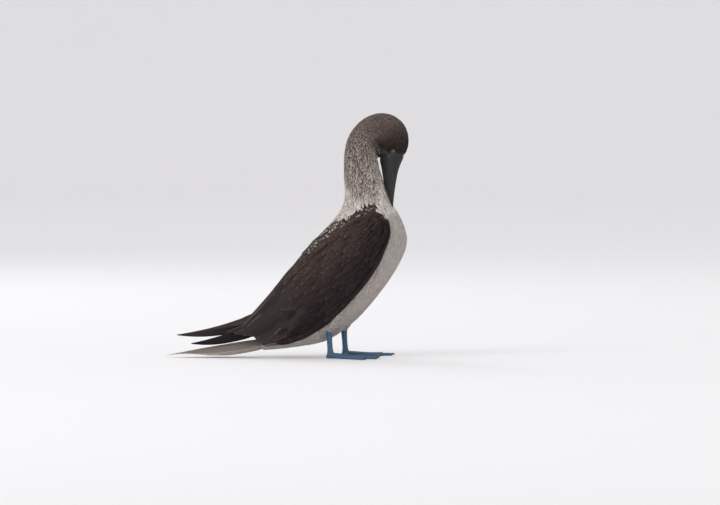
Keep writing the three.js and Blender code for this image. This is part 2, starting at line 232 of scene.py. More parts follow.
class Recipe:
    """A procedural material under construction."""

    def __init__(self, name: str, **constants: float) -> None:
        """Starts a material.

        Args:
            name: its name.
            constants: values of the shader's own sockets, by their names in small letters.
        """
        self.material = bpy.data.materials.new(name)
        self.material.use_nodes = True
        self.tree = self.material.node_tree
        self.surface = self.tree.nodes["Principled BSDF"]
        for key, value in constants.items():
            self.surface.inputs[key.replace("_", " ").title().replace("Ior", "IOR")].default_value = value

    def node(self, kind: str, settings: dict, sockets: dict) -> bpy.types.Node:
        """Adds one node.

        Args:
            kind: the node's type.
            settings: its properties, set first.
            sockets: values or links by the input's name or number.

        Returns:
            The new node.
        """
        made = self.tree.nodes.new(kind)
        for key, value in settings.items():
            setattr(made, key, value)
        for key, value in sockets.items():
            source = value.socket if isinstance(value, Socket) else value
            if isinstance(source, bpy.types.NodeSocket):
                self.tree.links.new(source, made.inputs[key])
            else:
                made.inputs[key].default_value = source
        return made

    def read(self, attribute: str) -> Socket:
        """A number stored on the mesh."""
        made = self.node("ShaderNodeAttribute", {"attribute_name": attribute}, {})
        return Socket(self, made.outputs["Fac"])

    def read_colour(self, attribute: str) -> bpy.types.NodeSocket:
        """A colour stored on the mesh."""
        return self.node("ShaderNodeAttribute", {"attribute_name": attribute}, {}).outputs["Color"]

    def position(self) -> bpy.types.NodeSocket:
        """The point in the object's own space."""
        return self.node("ShaderNodeTexCoord", {}, {}).outputs["Object"]

    def noise(self, scale: float, detail: float = 2.0) -> Socket:
        """Adds a noise in the object's own space.

        Args:
            scale: cells to a metre.
            detail: octaves of finer noise.

        Returns:
            Its value, about 0 to 1.
        """
        made = self.node(
            "ShaderNodeTexNoise", {}, {"Vector": self.position(), "Scale": scale, "Detail": detail}
        )
        return Socket(self, made.outputs[0])

    def cells(self, scale: float) -> Socket:
        """Adds a pattern of cells like scales.

        Args:
            scale: cells to a metre.

        Returns:
            The distance to the edge of the nearest cell, as a share of a cell.
        """
        made = self.node(
            "ShaderNodeTexVoronoi",
            {"feature": "DISTANCE_TO_EDGE"},
            {"Vector": self.position(), "Scale": scale},
        )
        return Socket(self, made.outputs[0])

    def blend(self, share: Socket, first: object, second: object) -> bpy.types.NodeSocket:
        """Mixes two colours.

        Args:
            share: the second colour's share.
            first: a colour or a colour socket.
            second: another.

        Returns:
            The mixed colour.
        """
        first, second = ((*c, 1.0) if isinstance(c, tuple) else c for c in (first, second))
        made = self.node("ShaderNodeMix", {"data_type": "RGBA"}, {0: share, 6: first, 7: second})
        return made.outputs[2]

    def scaled(self, colour: bpy.types.NodeSocket, share: Socket) -> bpy.types.NodeSocket:
        """A colour made brighter or darker."""
        made = self.node("ShaderNodeVectorMath", {"operation": "SCALE"}, {0: colour, 3: share})
        return made.outputs[0]

    def finish(
        self,
        colour: bpy.types.NodeSocket,
        height: Socket | None = None,
        depth: float = 0.0002,
        strength: float = 0.5,
        roughness: Socket | None = None,
    ) -> bpy.types.Material:
        """Links the colour, an optional bump and roughness.

        Args:
            colour: what feeds Base Color.
            height: what feeds the bump, 0 to 1.
            depth: how high the bump is, in metres.
            strength: how strongly it shows.
            roughness: what feeds Roughness, where it varies.

        Returns:
            The material.
        """
        self.tree.links.new(colour, self.surface.inputs["Base Color"])
        if roughness is not None:
            self.tree.links.new(roughness.socket, self.surface.inputs["Roughness"])
        if height is not None:
            made = self.node(
                "ShaderNodeBump", {}, {"Height": height, "Distance": depth, "Strength": strength}
            )
            self.tree.links.new(made.outputs[0], self.surface.inputs["Normal"])
        return self.material


@dataclass(frozen=True)
class PlumageFinish:
    """The look of one kind of feather: a core, a rim, and a paler pair that tone fades to."""

    name: str
    core: Triple
    rim: Triple
    pale_core: Triple
    pale_rim: Triple
    rim_from: float = 0.45
    rim_to: float = 0.85
    tip_from: float = 0.85
    variation: float = 0.35
    roughness: float = 0.78
    barbs: float = 34.0

    def make(self) -> bpy.types.Material:
        """Builds the material from the feather's own attributes.

        Returns:
            The material.
        """
        recipe = Recipe(self.name, roughness=self.roughness, specular_ior_level=0.12)
        across = abs(recipe.read("across"))
        along = recipe.read("along")
        chance = recipe.read("chance")
        tone = recipe.read("tone")
        frayed = (recipe.noise(900.0, 3.0) - 0.5) * 0.45
        rim = (across + frayed).between(self.rim_from, self.rim_to)
        tip = (along + frayed * 0.6).between(self.tip_from, self.tip_from + 0.12)
        border = rim.most(tip)
        dark = recipe.blend(border, self.core, self.rim)
        pale = recipe.blend(border, self.pale_core, self.pale_rim)
        mixed = recipe.blend(tone, dark, pale)
        shaft = 1.0 - (1.0 - across.between(0.0, 0.09)) * 0.22
        light = (1.0 - self.variation / 2) + chance * self.variation
        mottled = 0.88 + recipe.noise(160.0) * 0.24
        colour = recipe.scaled(mixed, shaft * light * mottled)
        ridges = ((along * self.barbs + across * 6.0) * 6.283).sine() * 0.5 + 0.5
        return recipe.finish(colour, ridges, depth=0.00012, strength=0.35)


# Face, crown, neck, mantle and the white of breast, belly and legs
BODY_PLUMAGE = (
    PlumageFinish(
        "face_plumage",
        core=(0.028, 0.021, 0.019),
        rim=(0.052, 0.04, 0.037),
        pale_core=(0.07, 0.051, 0.045),
        pale_rim=(0.235, 0.18, 0.158),
        variation=0.4,
    ),
    PlumageFinish(
        "crown_plumage",
        core=(0.07, 0.051, 0.045),
        rim=(0.235, 0.18, 0.158),
        pale_core=(0.08, 0.059, 0.051),
        pale_rim=(0.37, 0.3, 0.26),
        rim_from=0.4,
        tip_from=0.76,
        variation=0.5,
    ),
    PlumageFinish(
        "streaked_plumage",
        core=(0.08, 0.059, 0.051),
        rim=(0.37, 0.3, 0.26),
        pale_core=(0.6, 0.545, 0.49),
        pale_rim=(0.74, 0.69, 0.635),
        rim_from=0.35,
        rim_to=0.95,
        tip_from=0.7,
        variation=0.5,
    ),
    PlumageFinish(
        "scaly_mantle",
        core=(0.055, 0.038, 0.032),
        rim=(0.5, 0.44, 0.39),
        pale_core=(0.045, 0.032, 0.029),
        pale_rim=(0.1, 0.076, 0.066),
        rim_from=0.66,
        rim_to=1.0,
        tip_from=0.82,
        variation=0.6,
    ),
    PlumageFinish(
        "white_plumage",
        core=(0.5, 0.452, 0.42),
        rim=(0.56, 0.512, 0.48),
        pale_core=(0.45, 0.402, 0.37),
        pale_rim=(0.51, 0.462, 0.428),
        variation=0.14,
    ),
)


@dataclass(frozen=True)
class SkinFinish:
    """Skin: bare slate face, blue scaly legs and webs, pale or brown under the plumage."""

    name: str = "skin"

    def make(self) -> bpy.types.Material:
        """Builds the material from the skin's ground colour and its share of scales.

        Returns:
            The material.
        """
        recipe = Recipe(self.name, roughness=0.6, specular_ior_level=0.25)
        ground = recipe.read_colour("ground")
        scaly = recipe.read("scaly")
        fine = recipe.cells(720.0).between(0.0, 0.16)
        broad = recipe.noise(90.0, 3.0)
        shade = 0.82 + broad * 0.32
        # painted shade: the scaly skin darkened in the creases between its scales
        crease_shade = 1.0 - (1.0 - fine) * scaly * 0.3
        colour = recipe.scaled(ground, shade * crease_shade)
        rough = 0.62 - scaly * 0.2 + (1.0 - fine) * scaly * 0.15
        return recipe.finish(colour, fine * scaly + recipe.noise(700.0) * 0.3, 0.00025, 0.6, rough)


@dataclass(frozen=True)
class HornFinish:
    """Horn of the bill or claws, with fine streaks along its growth."""

    name: str
    base: Triple
    worn: Triple
    streak_scale: float = 260.0
    roughness: float = 0.42

    def make(self) -> bpy.types.Material:
        """Builds the material, worn paler in patches.

        Returns:
            The material.
        """
        recipe = Recipe(self.name, roughness=self.roughness, specular_ior_level=0.3)
        stretched = recipe.node(
            "ShaderNodeMapping", {}, {"Vector": recipe.position(), "Scale": (1.0, 1.0, 0.12)}
        )
        made = recipe.node(
            "ShaderNodeTexNoise",
            {},
            {"Vector": stretched.outputs[0], "Scale": self.streak_scale, "Detail": 4.0},
        )
        streak = Socket(recipe, made.outputs[0])
        broad = recipe.noise(55.0, 2.0)
        share = (streak * 0.6 + broad * 0.5).between(0.35, 0.85)
        rough = self.roughness - 0.06 + streak * 0.14
        return recipe.finish(recipe.blend(share, self.base, self.worn), streak, 0.00012, 0.4, rough)


@dataclass(frozen=True)
class EyeFinish:
    """The eyeball: black pupil, pale yellow iris, dark rim."""

    name: str
    centre: Vector
    axis: Vector
    pupil: float = 2.0
    iris: float = 3.75

    def make(self) -> bpy.types.Material:
        """Builds rings by how far a point is from the eye's axis.

        Returns:
            The material.
        """
        recipe = Recipe(self.name, roughness=0.08, coat_weight=1.0, coat_roughness=0.03)
        local = recipe.node(
            "ShaderNodeVectorMath",
            {"operation": "SUBTRACT"},
            {0: recipe.position(), 1: tuple(self.centre)},
        )
        made = recipe.node(
            "ShaderNodeVectorMath",
            {"operation": "DOT_PRODUCT"},
            {0: local.outputs[0], 1: tuple(self.axis)},
        )
        rise = Socket(recipe, made.outputs["Value"]) / (EYE_RADIUS * MM)

        def height(radius: float) -> float:
            """How high on the unit ball a ring of that radius is."""
            return math.sqrt(1 - (radius / EYE_RADIUS) ** 2)

        inner, outer = height(self.pupil), height(self.iris)
        iris = recipe.blend(recipe.noise(1400.0, 3.0), (0.2, 0.165, 0.075), (0.34, 0.285, 0.15))
        ringed = recipe.blend(rise.between(outer - 0.02, outer + 0.02), (0.02, 0.02, 0.022), iris)
        colour = recipe.blend(rise.between(inner - 0.006, inner + 0.006), ringed, (0.004, 0.004, 0.005))
        return recipe.finish(colour)


@dataclass(frozen=True)
class PlainFinish:
    """A plain matt finish, for the floor that runs up into the backdrop."""

    name: str
    colour: Triple
    glow: float = 0.0

    def make(self) -> bpy.types.Material:
        """Builds the material.

        Returns:
            The material.
        """
        recipe = Recipe(self.name, roughness=0.95)
        tone = recipe.blend(recipe.noise(1.2), self.colour, tuple(0.985 * c for c in self.colour))
        if self.glow:
            recipe.surface.inputs["Emission Color"].default_value = (*self.colour, 1.0)
            recipe.surface.inputs["Emission Strength"].default_value = self.glow
        return recipe.finish(tone)


def shown(name: str, shape: bmesh.types.BMesh, smooth: bool = True) -> bpy.types.Object:
    """Turns a bmesh into an object in the scene and frees it.

    Args:
        name: the object's name.
        shape: the bmesh.
        smooth: whether its faces are shaded smooth.

    Returns:
        The object.
    """
    mesh = bpy.data.meshes.new(name)
    for face in shape.faces:
        face.smooth = smooth
    shape.to_mesh(mesh)
    shape.free()
    made = bpy.data.objects.new(name, mesh)
    bpy.context.scene.collection.objects.link(made)
    return made


def welded(name: str, nodes: Iterable[str]) -> bpy.types.Object:
    """Copies CAD nodes.

    Args:
        name: the new object's name.
        nodes: the nodes' names.

    Returns:
        One object that holds them all, with their doubled vertices merged.
    """
    shape = bmesh.new()
    for node in nodes:
        shape.from_mesh(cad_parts[node].data)
    bmesh.ops.remove_doubles(shape, verts=shape.verts, dist=0.002 * MM)
    return shown(name, shape)


def settle(made: bpy.types.Object) -> None:
    """Applies an object's modifiers.

    Args:
        made: the object, whose mesh is replaced by what the modifiers make of it.
    """
    depsgraph = bpy.context.evaluated_depsgraph_get()
    mesh = bpy.data.meshes.new_from_object(made.evaluated_get(depsgraph))
    old = made.data
    made.modifiers.clear()
    made.data = mesh
    bpy.data.meshes.remove(old)
    mesh.shade_smooth()


def remeshed(made: bpy.types.Object, voxel: float, relaxing: int) -> bpy.types.Object:
    """Makes one even, closed surface of whatever overlaps or nearly touches in the object.

    Args:
        made: the object.
        voxel: the new surface's pitch, in millimetres.
        relaxing: rounds of smoothing.

    Returns:
        The same object.
    """
    even = made.modifiers.new("even", "REMESH")
    even.mode = "VOXEL"
    even.voxel_size = voxel * MM
    relax = made.modifiers.new("relax", "SMOOTH")
    relax.iterations = relaxing
    settle(made)
    return made


def vectors(items: bpy.types.bpy_prop_collection, name: str) -> Array:
    """Reads one vector of every item.

    Args:
        items: the mesh's vertices or their normals.
        name: the name of the vector.

    Returns:
        The vectors, one a row.
    """
    flat = np.empty(len(items) * 3, np.float32)
    items.foreach_get(name, flat)
    return flat.reshape(-1, 3).astype(float)


def coordinates(mesh: bpy.types.Mesh) -> Array:
    """The mesh's vertices, one a row."""
    return vectors(mesh.vertices, "co")


def vertex_normals(mesh: bpy.types.Mesh) -> Array:
    """The mesh's vertex normals, one a row."""
    return vectors(mesh.vertex_normals, "vector")


def move_vertices(mesh: bpy.types.Mesh, points: Array) -> None:
    """Puts the mesh's vertices at points."""
    mesh.vertices.foreach_set("co", points.astype(np.float32).ravel())
    mesh.update()


def keep_above_floor(made: bpy.types.Object) -> None:
    """Lifts whatever would dip below the floor.

    Args:
        made: the object, whose vertices are moved.
    """
    points = coordinates(made.data)
    points[:, 2] = np.maximum(points[:, 2], CLEAR_OF_FLOOR * MM)
    move_vertices(made.data, points)


def spun(profile: Iterable[tuple[float, float]], steps: int, closed: bool) -> bmesh.types.BMesh:
    """Spins a section round the upright axis.

    Args:
        profile: the section's points as (radius, height), in metres.
        steps: how many steps make the full turn.
        closed: whether the last point joins the first.

    Returns:
        The closed-up shape, its faces pointing outwards.
    """
    shape = bmesh.new()
    verts = [shape.verts.new((radius, 0, height)) for radius, height in profile]
    pairs = list(zip(verts, verts[1:])) + ([(verts[-1], verts[0])] if closed else [])
    edges = [shape.edges.new(pair) for pair in pairs]
    bmesh.ops.spin(
        shape,
        geom=verts + edges,
        cent=(0, 0, 0),
        axis=(0, 0, 1),
        angle=math.tau,
        steps=steps,
        use_merge=True,
    )
    bmesh.ops.remove_doubles(shape, verts=shape.verts, dist=0.01 * MM)
    bmesh.ops.recalc_face_normals(shape, faces=shape.faces)
    return shape


def dress(made: bpy.types.Object, material: bpy.types.Material) -> None:
    """Gives a piece its material and lets it ride on the bird.

    Args:
        made: the piece.
        material: its material.
    """
    made.data.materials.clear()
    made.data.materials.append(material)
    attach(made, BODY)
    LOG.info("%s: %d faces", made.name, len(made.data.polygons))


class Surface:
    """A closed surface that feathers stand on."""

    def __init__(self, made: bpy.types.Object) -> None:
        """Indexes an object's faces for snapping and scattering.

        Args:
            made: the object, which is only read.
        """
        mesh = made.data
        mesh.calc_loop_triangles()
        self.points = coordinates(mesh)
        self.normals = vertex_normals(mesh)
        corners = np.empty(len(mesh.loop_triangles) * 3, np.int32)
        mesh.loop_triangles.foreach_get("vertices", corners)
        self.triangles = corners.reshape(-1, 3)
        self.tree = BVHTree.FromPolygons(
            [Vector(p) for p in self.points], self.triangles.tolist(), all_triangles=True
        )
        self.facing = unit(self.normals[self.triangles].sum(axis=1))

    def snap(self, points: Array) -> tuple[Array, Array]:
        """Finds the nearest places on the surface.

        Args:
            points: any array of points.

        Returns:
            The nearest points of the surface and its normals there, in the same arrangement.
        """
        flat = points.reshape(-1, 3)
        placed = np.empty_like(flat)
        facing = np.empty_like(flat)
        for i, point in enumerate(flat):
            spot, _, face, _ = self.tree.find_nearest(point)
            placed[i] = spot
            facing[i] = self.facing[face]
        return placed.reshape(points.shape), facing.reshape(points.shape)

    def centres(self) -> Array:
        """The middle of every triangle."""
        return self.points[self.triangles].mean(axis=1)

    def scatter(self, spacing: float, wanted: Array, seed: int) -> Array:
        """Points spread evenly over part of the surface.

        Args:
            spacing: the least distance between two, in millimetres.
            wanted: which triangles lie in the wanted part.
            seed: the start of the random numbers.

        Returns:
            The points, one a row.
        """
        chance = np.random.default_rng(seed)
        a, b, c = (self.points[self.triangles[:, k]] for k in range(3))
        area = np.linalg.norm(np.cross(b - a, c - a), axis=1) / 2
        area = np.where(wanted, area, 0.0)
        step = spacing * MM
        count = int(area.sum() / step**2 * 5)
        if count == 0:
            return np.empty((0, 3))
        faces = chance.choice(len(area), size=count, p=area / area.sum())
        u, v = chance.random((2, count, 1))
        flip = (u + v) > 1
        u, v = np.where(flip, 1 - u, u), np.where(flip, 1 - v, v)
        spots = a[faces] + u * (b - a)[faces] + v * (c - a)[faces]
        return spots[self._apart(spots, step)]

    @staticmethod
    def _apart(spots: Array, step: float) -> list[int]:
        """Thins spots out.

        Args:
            spots: the points, one a row.
            step: the least distance, in metres.

        Returns:
            The indexes of those that keep the step from every earlier kept one.
        """
        cells: dict[tuple[int, int, int], list[list[float]]] = {}
        reach = (-1, 0, 1)
        near = [(i, j, k) for i in reach for j in reach for k in reach]
        kept = []
        grid = np.floor(spots / step).astype(int).tolist()
        for index, ((i, j, k), spot) in enumerate(zip(grid, spots.tolist())):
            x, y, z = spot
            others = (o for a, b, c in near for o in cells.get((i + a, j + b, k + c), ()))
            if all((p - x) ** 2 + (q - y) ** 2 + (r - z) ** 2 >= step * step for p, q, r in others):
                cells.setdefault((i, j, k), []).append(spot)
                kept.append(index)
        return kept


@dataclass
class BodyMap:
    """Where a point is on the body: how far along it from the bill, and how far round it."""

    spine: tuple[tuple[float, ...], ...] = (
        (97.3, 348, -4),
        (99.5, 361, -1),
        (99.5, 373, 1),
        (94, 387, 5),
        (84, 396, 9),
        (71, 399, 12),
        (58, 394, 11),
        (47.5, 384, 6),
        (42, 371, 2),
        (40, 355),
        (42, 335),
        (46, 312),
        (52, 288),
        (61, 261),
        (63.5, 232),
        (45, 196),
        (9.5, 152),
        (-28, 108),
        (-62, 72.5),
        (-92, 47),
        (-135, 25),
        (-170, 16),
    )
    steps: int = 300
    line: Array = field(init=False)
    heading: Array = field(init=False)
    dorsal: Array = field(init=False)
    length: Array = field(init=False)

    def __post_init__(self) -> None:
        """Spaces the spine evenly and finds which way the back is."""
        self.line = smooth_track(PLACE.all(self.spine), self.steps)
        self.heading = unit(np.gradient(self.line, axis=0))
        gaps = np.linalg.norm(np.diff(self.line, axis=0), axis=1) / MM
        self.length = np.concatenate([[0], np.cumsum(gaps)])
        back = np.cross([0.0, 1.0, 0.0], self.heading)
        turn = -HEAD_TURN * (1 - ramp(self.length, 57, 118))
        cos, sin = np.cos(turn), np.sin(turn)
        x, y, z = back.T
        back = np.stack([x * cos - y * sin, x * sin + y * cos, z], axis=1)
        back -= self.heading * (back * self.heading).sum(axis=1, keepdims=True)
        self.dorsal = unit(back)

    def locate(self, points: Array) -> tuple[Array, Array, Array]:
        """Finds points on the body.

        Args:
            points: the points, one a row.

        Returns:
            The distance from the bill in mm, the angle from the back in degrees (the left side
            is positive), and the direction towards the tail.
        """
        nearest = np.empty(len(points), int)
        for start in range(0, len(points), 4000):
            part = points[start : start + 4000, None] - self.line[None]
            nearest[start : start + 4000] = (part**2).sum(axis=2).argmin(axis=1)
        away = points - self.line[nearest]
        heading, dorsal = self.heading[nearest], self.dorsal[nearest]
        left = np.cross(dorsal, heading)
        angle = np.degrees(np.arctan2((away * left).sum(axis=1), (away * dorsal).sum(axis=1)))
        slide = (away * heading).sum(axis=1) / MM
        return self.length[nearest] + slide, angle, heading


@dataclass(frozen=True)
class Markings:
    """Which plumage grows where; skin and feathers both ask it."""

    slate: Triple = (0.03, 0.034, 0.039)
    brown: Triple = (0.05, 0.034, 0.03)
    white: Triple = (0.5, 0.46, 0.42)
    blue: Triple = (0.08, 0.16, 0.26)

    def neck_tone(self, along: Array, angle: Array) -> Array:
        """Tells how far the brown streaks have given way to white.

        Args:
            along: how far along the body from the bill, in mm.
            angle: how far round from the back, in degrees.

        Returns:
            A share from 0 to 1 for each point.
        """
        start = 150 + 38 * np.sin(np.radians(angle)) ** 2
        white = ramp(along, start, start + 34)
        throat = 0.3 * ramp(np.abs(angle), 110, 160) * ramp(along, 95, 150)
        return np.clip(white + throat + 0.26 * ramp(along, 95, 165), 0, 1)

    def on_mantle(self, along: Array, angle: Array) -> Array:
        """Finds the brown upper back and its tongues beside the neck.

        Args:
            along: how far along the body from the bill, in mm.
            angle: how far round from the back, in degrees.

        Returns:
            1 on the brown part and 0 elsewhere, with a short blend between.
        """
        turn = np.abs(angle)
        start = 217 - 15 * ramp(turn, 22, 72)
        side = 94 - 14 * ramp(along, 226, 262)
        return ramp(along, start, start + 6) * (1 - ramp(turn, side, side + 6))

    def is_bare(self, along: Array, angle: Array) -> Array:
        """Finds the bare slate skin of the lores, round the eyes and on the chin.

        Args:
            along: how far along the body from the bill, in mm.
            angle: how far round from the back, in degrees.

        Returns:
            True where the skin is bare.
        """
        turn = np.abs(angle)
        edge = 1.5 + 6 * ramp(turn, 45, 90) + 13 * ramp(turn, 98, 150)
        return along < edge

    def ground(self, along: Array, angle: Array) -> Array:
        """Colours the skin under or between the feathers.

        Args:
            along: how far along the body from the bill, in mm.
            angle: how far round from the back, in degrees.

        Returns:
            One colour for each point.
        """
        tone = np.where(along < 215, self.neck_tone(along, angle), 1.0)[:, None]
        colour = np.array(self.brown) * (1 - tone) + np.array(self.white) * tone
        back = self.on_mantle(along, angle)[:, None]
        colour = colour * (1 - back) + np.array(self.brown) * back
        bare = self.is_bare(along, angle)[:, None]
        return np.where(bare, np.array(self.slate), colour)


@dataclass
class Bird:
    """The shared surfaces: the plumage's outer shape, both wings' outer shape and the map."""

    map: BodyMap = field(default_factory=BodyMap)
    markings: Markings = field(default_factory=Markings)
    outer: Surface = field(init=False)
    wings: dict[Side, Surface] = field(init=False)
    eyes: dict[Side, Eye] = field(init=False)
    centres: Array = field(init=False)
    spread: tuple[Array, Array] = field(init=False)
    flesh: tuple[str, ...] = ("trunk", "neck", "head", "thigh_left", "thigh_right")

    def __post_init__(self) -> None:
        """Builds the surfaces from copies of the CAD nodes."""
        body = remeshed(welded("outer", self.flesh), 2.2, 6)
        self.outer = Surface(body)
        bpy.data.objects.remove(body)
        self.wings = {}
        for side in Side:
            wing = remeshed(welded("wing_shape", [f"wing_{side.word}"]), 1.6, 6)
            self.wings[side] = Surface(wing)
            bpy.data.objects.remove(wing)
        self.eyes = {side: Eye(side, self.outer) for side in Side}
        self.centres = self.outer.centres()
        self.spread = self.map.locate(self.centres)[:2]

    def under_wing(self, points: Array) -> Array:
        """Finds what a wing covers.

        Args:
            points: points of the body, one a row.

        Returns:
            True for each point with a wing outside it.
        """
        covered = np.zeros(len(points), bool)
        for side, wing in self.wings.items():
            out = Vector((0, side.value, 0))
            for i in np.flatnonzero((points[:, 1] - PLACE.y) * side.value > 0):
                covered[i] |= wing.tree.ray_cast(Vector(points[i]), out, 0.06)[0] is not None
        return covered


@dataclass
class Skin:
    """One skin for trunk, neck, head, wings, thighs, shanks and webbed feet.

    Measures are in millimetres and angles in degrees. The toes are the hind, inner, middle and
    outer one, and their angles are taken from the middle of the foot.
    """

    bird: Bird
    voxel: float = 2.6
    leg_voxel: float = 0.7
    depth_body: float = 3.6
    depth_face: float = 1.3
    thin: float = 14.0
    softening: int = 30
    toe_angles: tuple[float, ...] = (104.0, 31.0, 4.0, -19.0)
    toe_lengths: tuple[float, ...] = (29.0, 60.0, 84.0, 80.0)
    toe_half_width: float = 3.4
    foot_yaw: dict[Side, float] = field(default_factory=lambda: {Side.LEFT: 21.0, Side.RIGHT: -24.0})
    heel_place: tuple[float, float] = (-5.9, 8.0)
    heel_balls: tuple[tuple[float, float], ...] = ((0.0, 6.0), (3.0, 5.6))
    ankle: float = 9.5
    sole: float = 1.1
    scute: float = 2.6
    toe_relief: float = 0.26
    shank_relief: float = 0.24
    web_relief: float = 0.16

    def build(self) -> None:
        """Makes the skin as one object."""
        shape = bmesh.new()
        scaly = []
        for part, share in ((self._body(), 0.0), *((self._leg(side), 1.0) for side in Side)):
            shape.from_mesh(part.data)
            scaly += [share] * len(part.data.vertices)
            bpy.data.objects.remove(part)
        made = shown("skin", shape)
        self._colour(made.data, np.array(scaly))
        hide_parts(*self.bird.flesh)
        for side in Side:
            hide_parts(*(f"{part}_{side.word}" for part in ("wing", "tarsus", "foot")))
        dress(made, SkinFinish().make())

    def _body(self) -> bpy.types.Object:
        """Makes the feathered part, drawn in by the plumage's depth, and less where it is thin.

        Returns:
            The new object.
        """
        nodes = [*self.bird.flesh, "wing_left", "wing_right"]
        made = remeshed(welded("body_skin", nodes), self.voxel, 5)
        points = coordinates(made.data)
        along, _, _ = self.bird.map.locate(points)
        depth = self.depth_face + (self.depth_body - self.depth_face) * ramp(along, 60, 230)
        depth *= ramp(along, -6, 12) * 0.75 + 0.25
        normals = vertex_normals(made.data)
        room = self._thickness(made, points, normals)
        depth = np.minimum(depth * MM, 0.45 * room)
        move_vertices(made.data, points - normals * depth[:, None])
        self._soften(made, room < self.thin * MM)
        return made

    @staticmethod
    def _thickness(made: bpy.types.Object, points: Array, normals: Array) -> Array:
        """Measures how far it is through a shape.

        Args:
            made: the shape.
            points: its vertices.
            normals: their normals.

        Returns:
            The least distance through the shape round each vertex, in metres and up to 20 mm.
        """
        most = 20 * MM
        tree = Surface(made).tree
        start = points - normals * 0.3 * MM
        found = [
            tree.ray_cast(Vector(spot), Vector(way), most)[3]
            for spot, way in zip(start.tolist(), (-normals).tolist())
        ]
        room = np.array([most if distance is None else distance for distance in found])
        ends = np.empty(2 * len(made.data.edges), np.int32)
        made.data.edges.foreach_get("vertices", ends)
        first, second = ends.reshape(-1, 2).T
        for _ in range(3):
            least = room.copy()
            np.minimum.at(least, first, room[second])
            np.minimum.at(least, second, room[first])
            room = least
        return room

    def _soften(self, made: bpy.types.Object, wanted: Array) -> None:
        """Draws in the thin rims of the wings, so that the feathers cover them.

        Args:
            made: the feathered part.
            wanted: True for each vertex that is smoothed.
        """
        shape = bmesh.new()
        shape.from_mesh(made.data)
        verts = [vert for vert, take in zip(shape.verts, wanted) if take]
        for _ in range(self.softening):
            bmesh.ops.smooth_vert(
                shape, verts=verts, factor=0.5, use_axis_x=True, use_axis_y=True, use_axis_z=True
            )
        shape.to_mesh(made.data)
        shape.free()

    def _leg(self, side: Side) -> bpy.types.Object:
        """Makes a shank and its webbed foot, with scutes along the toes and round the shank.

        Args:
            side: which leg.

        Returns:
            The leg.
        """
        low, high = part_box(f"tarsus_{side.word}")
        middle = (low.y + high.y) / 2
        back, up = self.heel_place
        heel = Vector((high.x + back * MM, middle, up * MM))
        cad = welded("leg", [f"tarsus_{side.word}", f"foot_{side.word}"])
        shape = bmesh.new()
        shape.from_mesh(cad.data)
        for lift, radius in self.heel_balls:
            spot = Matrix.Translation(heel + Vector((0, 0, lift * MM)))
            bmesh.ops.create_icosphere(shape, subdivisions=3, radius=radius * MM, matrix=spot)
        shape.to_mesh(cad.data)
        shape.free()
        made = remeshed(cad, self.leg_voxel, 6)
        points = coordinates(made.data)
        flat = points - np.array([(low.x + high.x) / 2 + 1.2 * MM, middle, 0.0])
        relief = np.where(points[:, 2] < self.ankle * MM, self._foot(side, flat), self._shank(flat))
        relief = np.where(points[:, 2] < self.sole * MM, 0.0, relief)
        moved = points + vertex_normals(made.data) * relief[:, None] * MM
        moved[:, 2] = np.maximum(moved[:, 2], 0.0)
        move_vertices(made.data, moved)
        return made

    def _foot(self, side: Side, flat: Array) -> Array:
        """Shapes the scutes along the toes and the pleats of the webs.

        Args:
            side: which foot.
            flat: points from the middle of the shank's foot, in metres.

        Returns:
            How far each point is lifted, in millimetres.
        """
        relief = np.zeros(len(flat))
        far = 99.0
        nearest = np.full(len(flat), far)
        for angle, length in zip(self.toe_angles, self.toe_lengths):
            turn = math.radians(self.foot_yaw[side] - side.value * angle)
            way = np.array([math.cos(turn), math.sin(turn)])
            reach = flat[:, :2] @ way / MM
            off = np.abs(flat[:, 0] * way[1] - flat[:, 1] * way[0]) / MM
            inside = (reach > 2) & (reach < length + 2) & (off < nearest)
            nearest = np.where(inside, off, nearest)
            scutes = self.toe_relief * self._rings(reach, self.scute)
            relief = np.where(inside & (off < self.toe_half_width), scutes, relief)
        pleats = self.web_relief * np.sin(nearest * 1.9) * ramp(nearest, 3.5, 6)
        return relief + pleats * (nearest < far - 9)

    def _shank(self, flat: Array) -> Array:
        """Shapes the rings round the shank, strongest in front.

        Args:
            flat: the leg's points, as _foot takes them.

        Returns:
            How far the skin stands out at each point.
        """
        front = ramp(flat[:, 0], 0.0, 2.0 * MM)
        rings = self._rings(flat[:, 2], self.scute * MM * 1.15)
        return self.shank_relief * rings * (0.35 + 0.65 * front)

    @staticmethod
    def _rings(place: Array, pitch: float) -> Array:
        """Rounded ridges with sharp creases between, one each pitch."""
        return np.abs(np.sin(math.pi * place / pitch)) ** 0.5 - 0.6

    def _colour(self, mesh: bpy.types.Mesh, scaly: Array) -> None:
        """Stores the ground colour and the share of scales on the vertices.

        Args:
            mesh: the whole skin.
            scaly: 1 for each vertex of the legs, 0 elsewhere.
        """
        points = coordinates(mesh)
        along, angle, _ = self.bird.map.locate(points)
        markings = self.bird.markings
        wing = np.zeros(len(points), bool)
        for side, surface in self.bird.wings.items():
            for i in np.flatnonzero((points[:, 1] - PLACE.y) * side.value > 18 * MM):
                wing[i] |= surface.tree.find_nearest(Vector(points[i]), 8 * MM)[0] is not None
        colour = markings.ground(along, angle)
        colour = np.where(wing[:, None], np.array(markings.brown), colour)
        shaded = 1 - 0.35 * ramp(points[:, 2], 30 * MM, 60 * MM)[:, None]
        colour = np.where(scaly[:, None] > 0, np.array(markings.blue) * shaded, colour)
        paint = mesh.color_attributes.new("ground", "FLOAT_COLOR", "POINT")
        rgba = np.hstack([colour, np.ones((len(points), 1))]).astype(np.float32)
        paint.data.foreach_set("color", rgba.ravel())
        share = mesh.attributes.new("scaly", "FLOAT", "POINT")
        share.data.foreach_set("value", scaly.astype(np.float32))


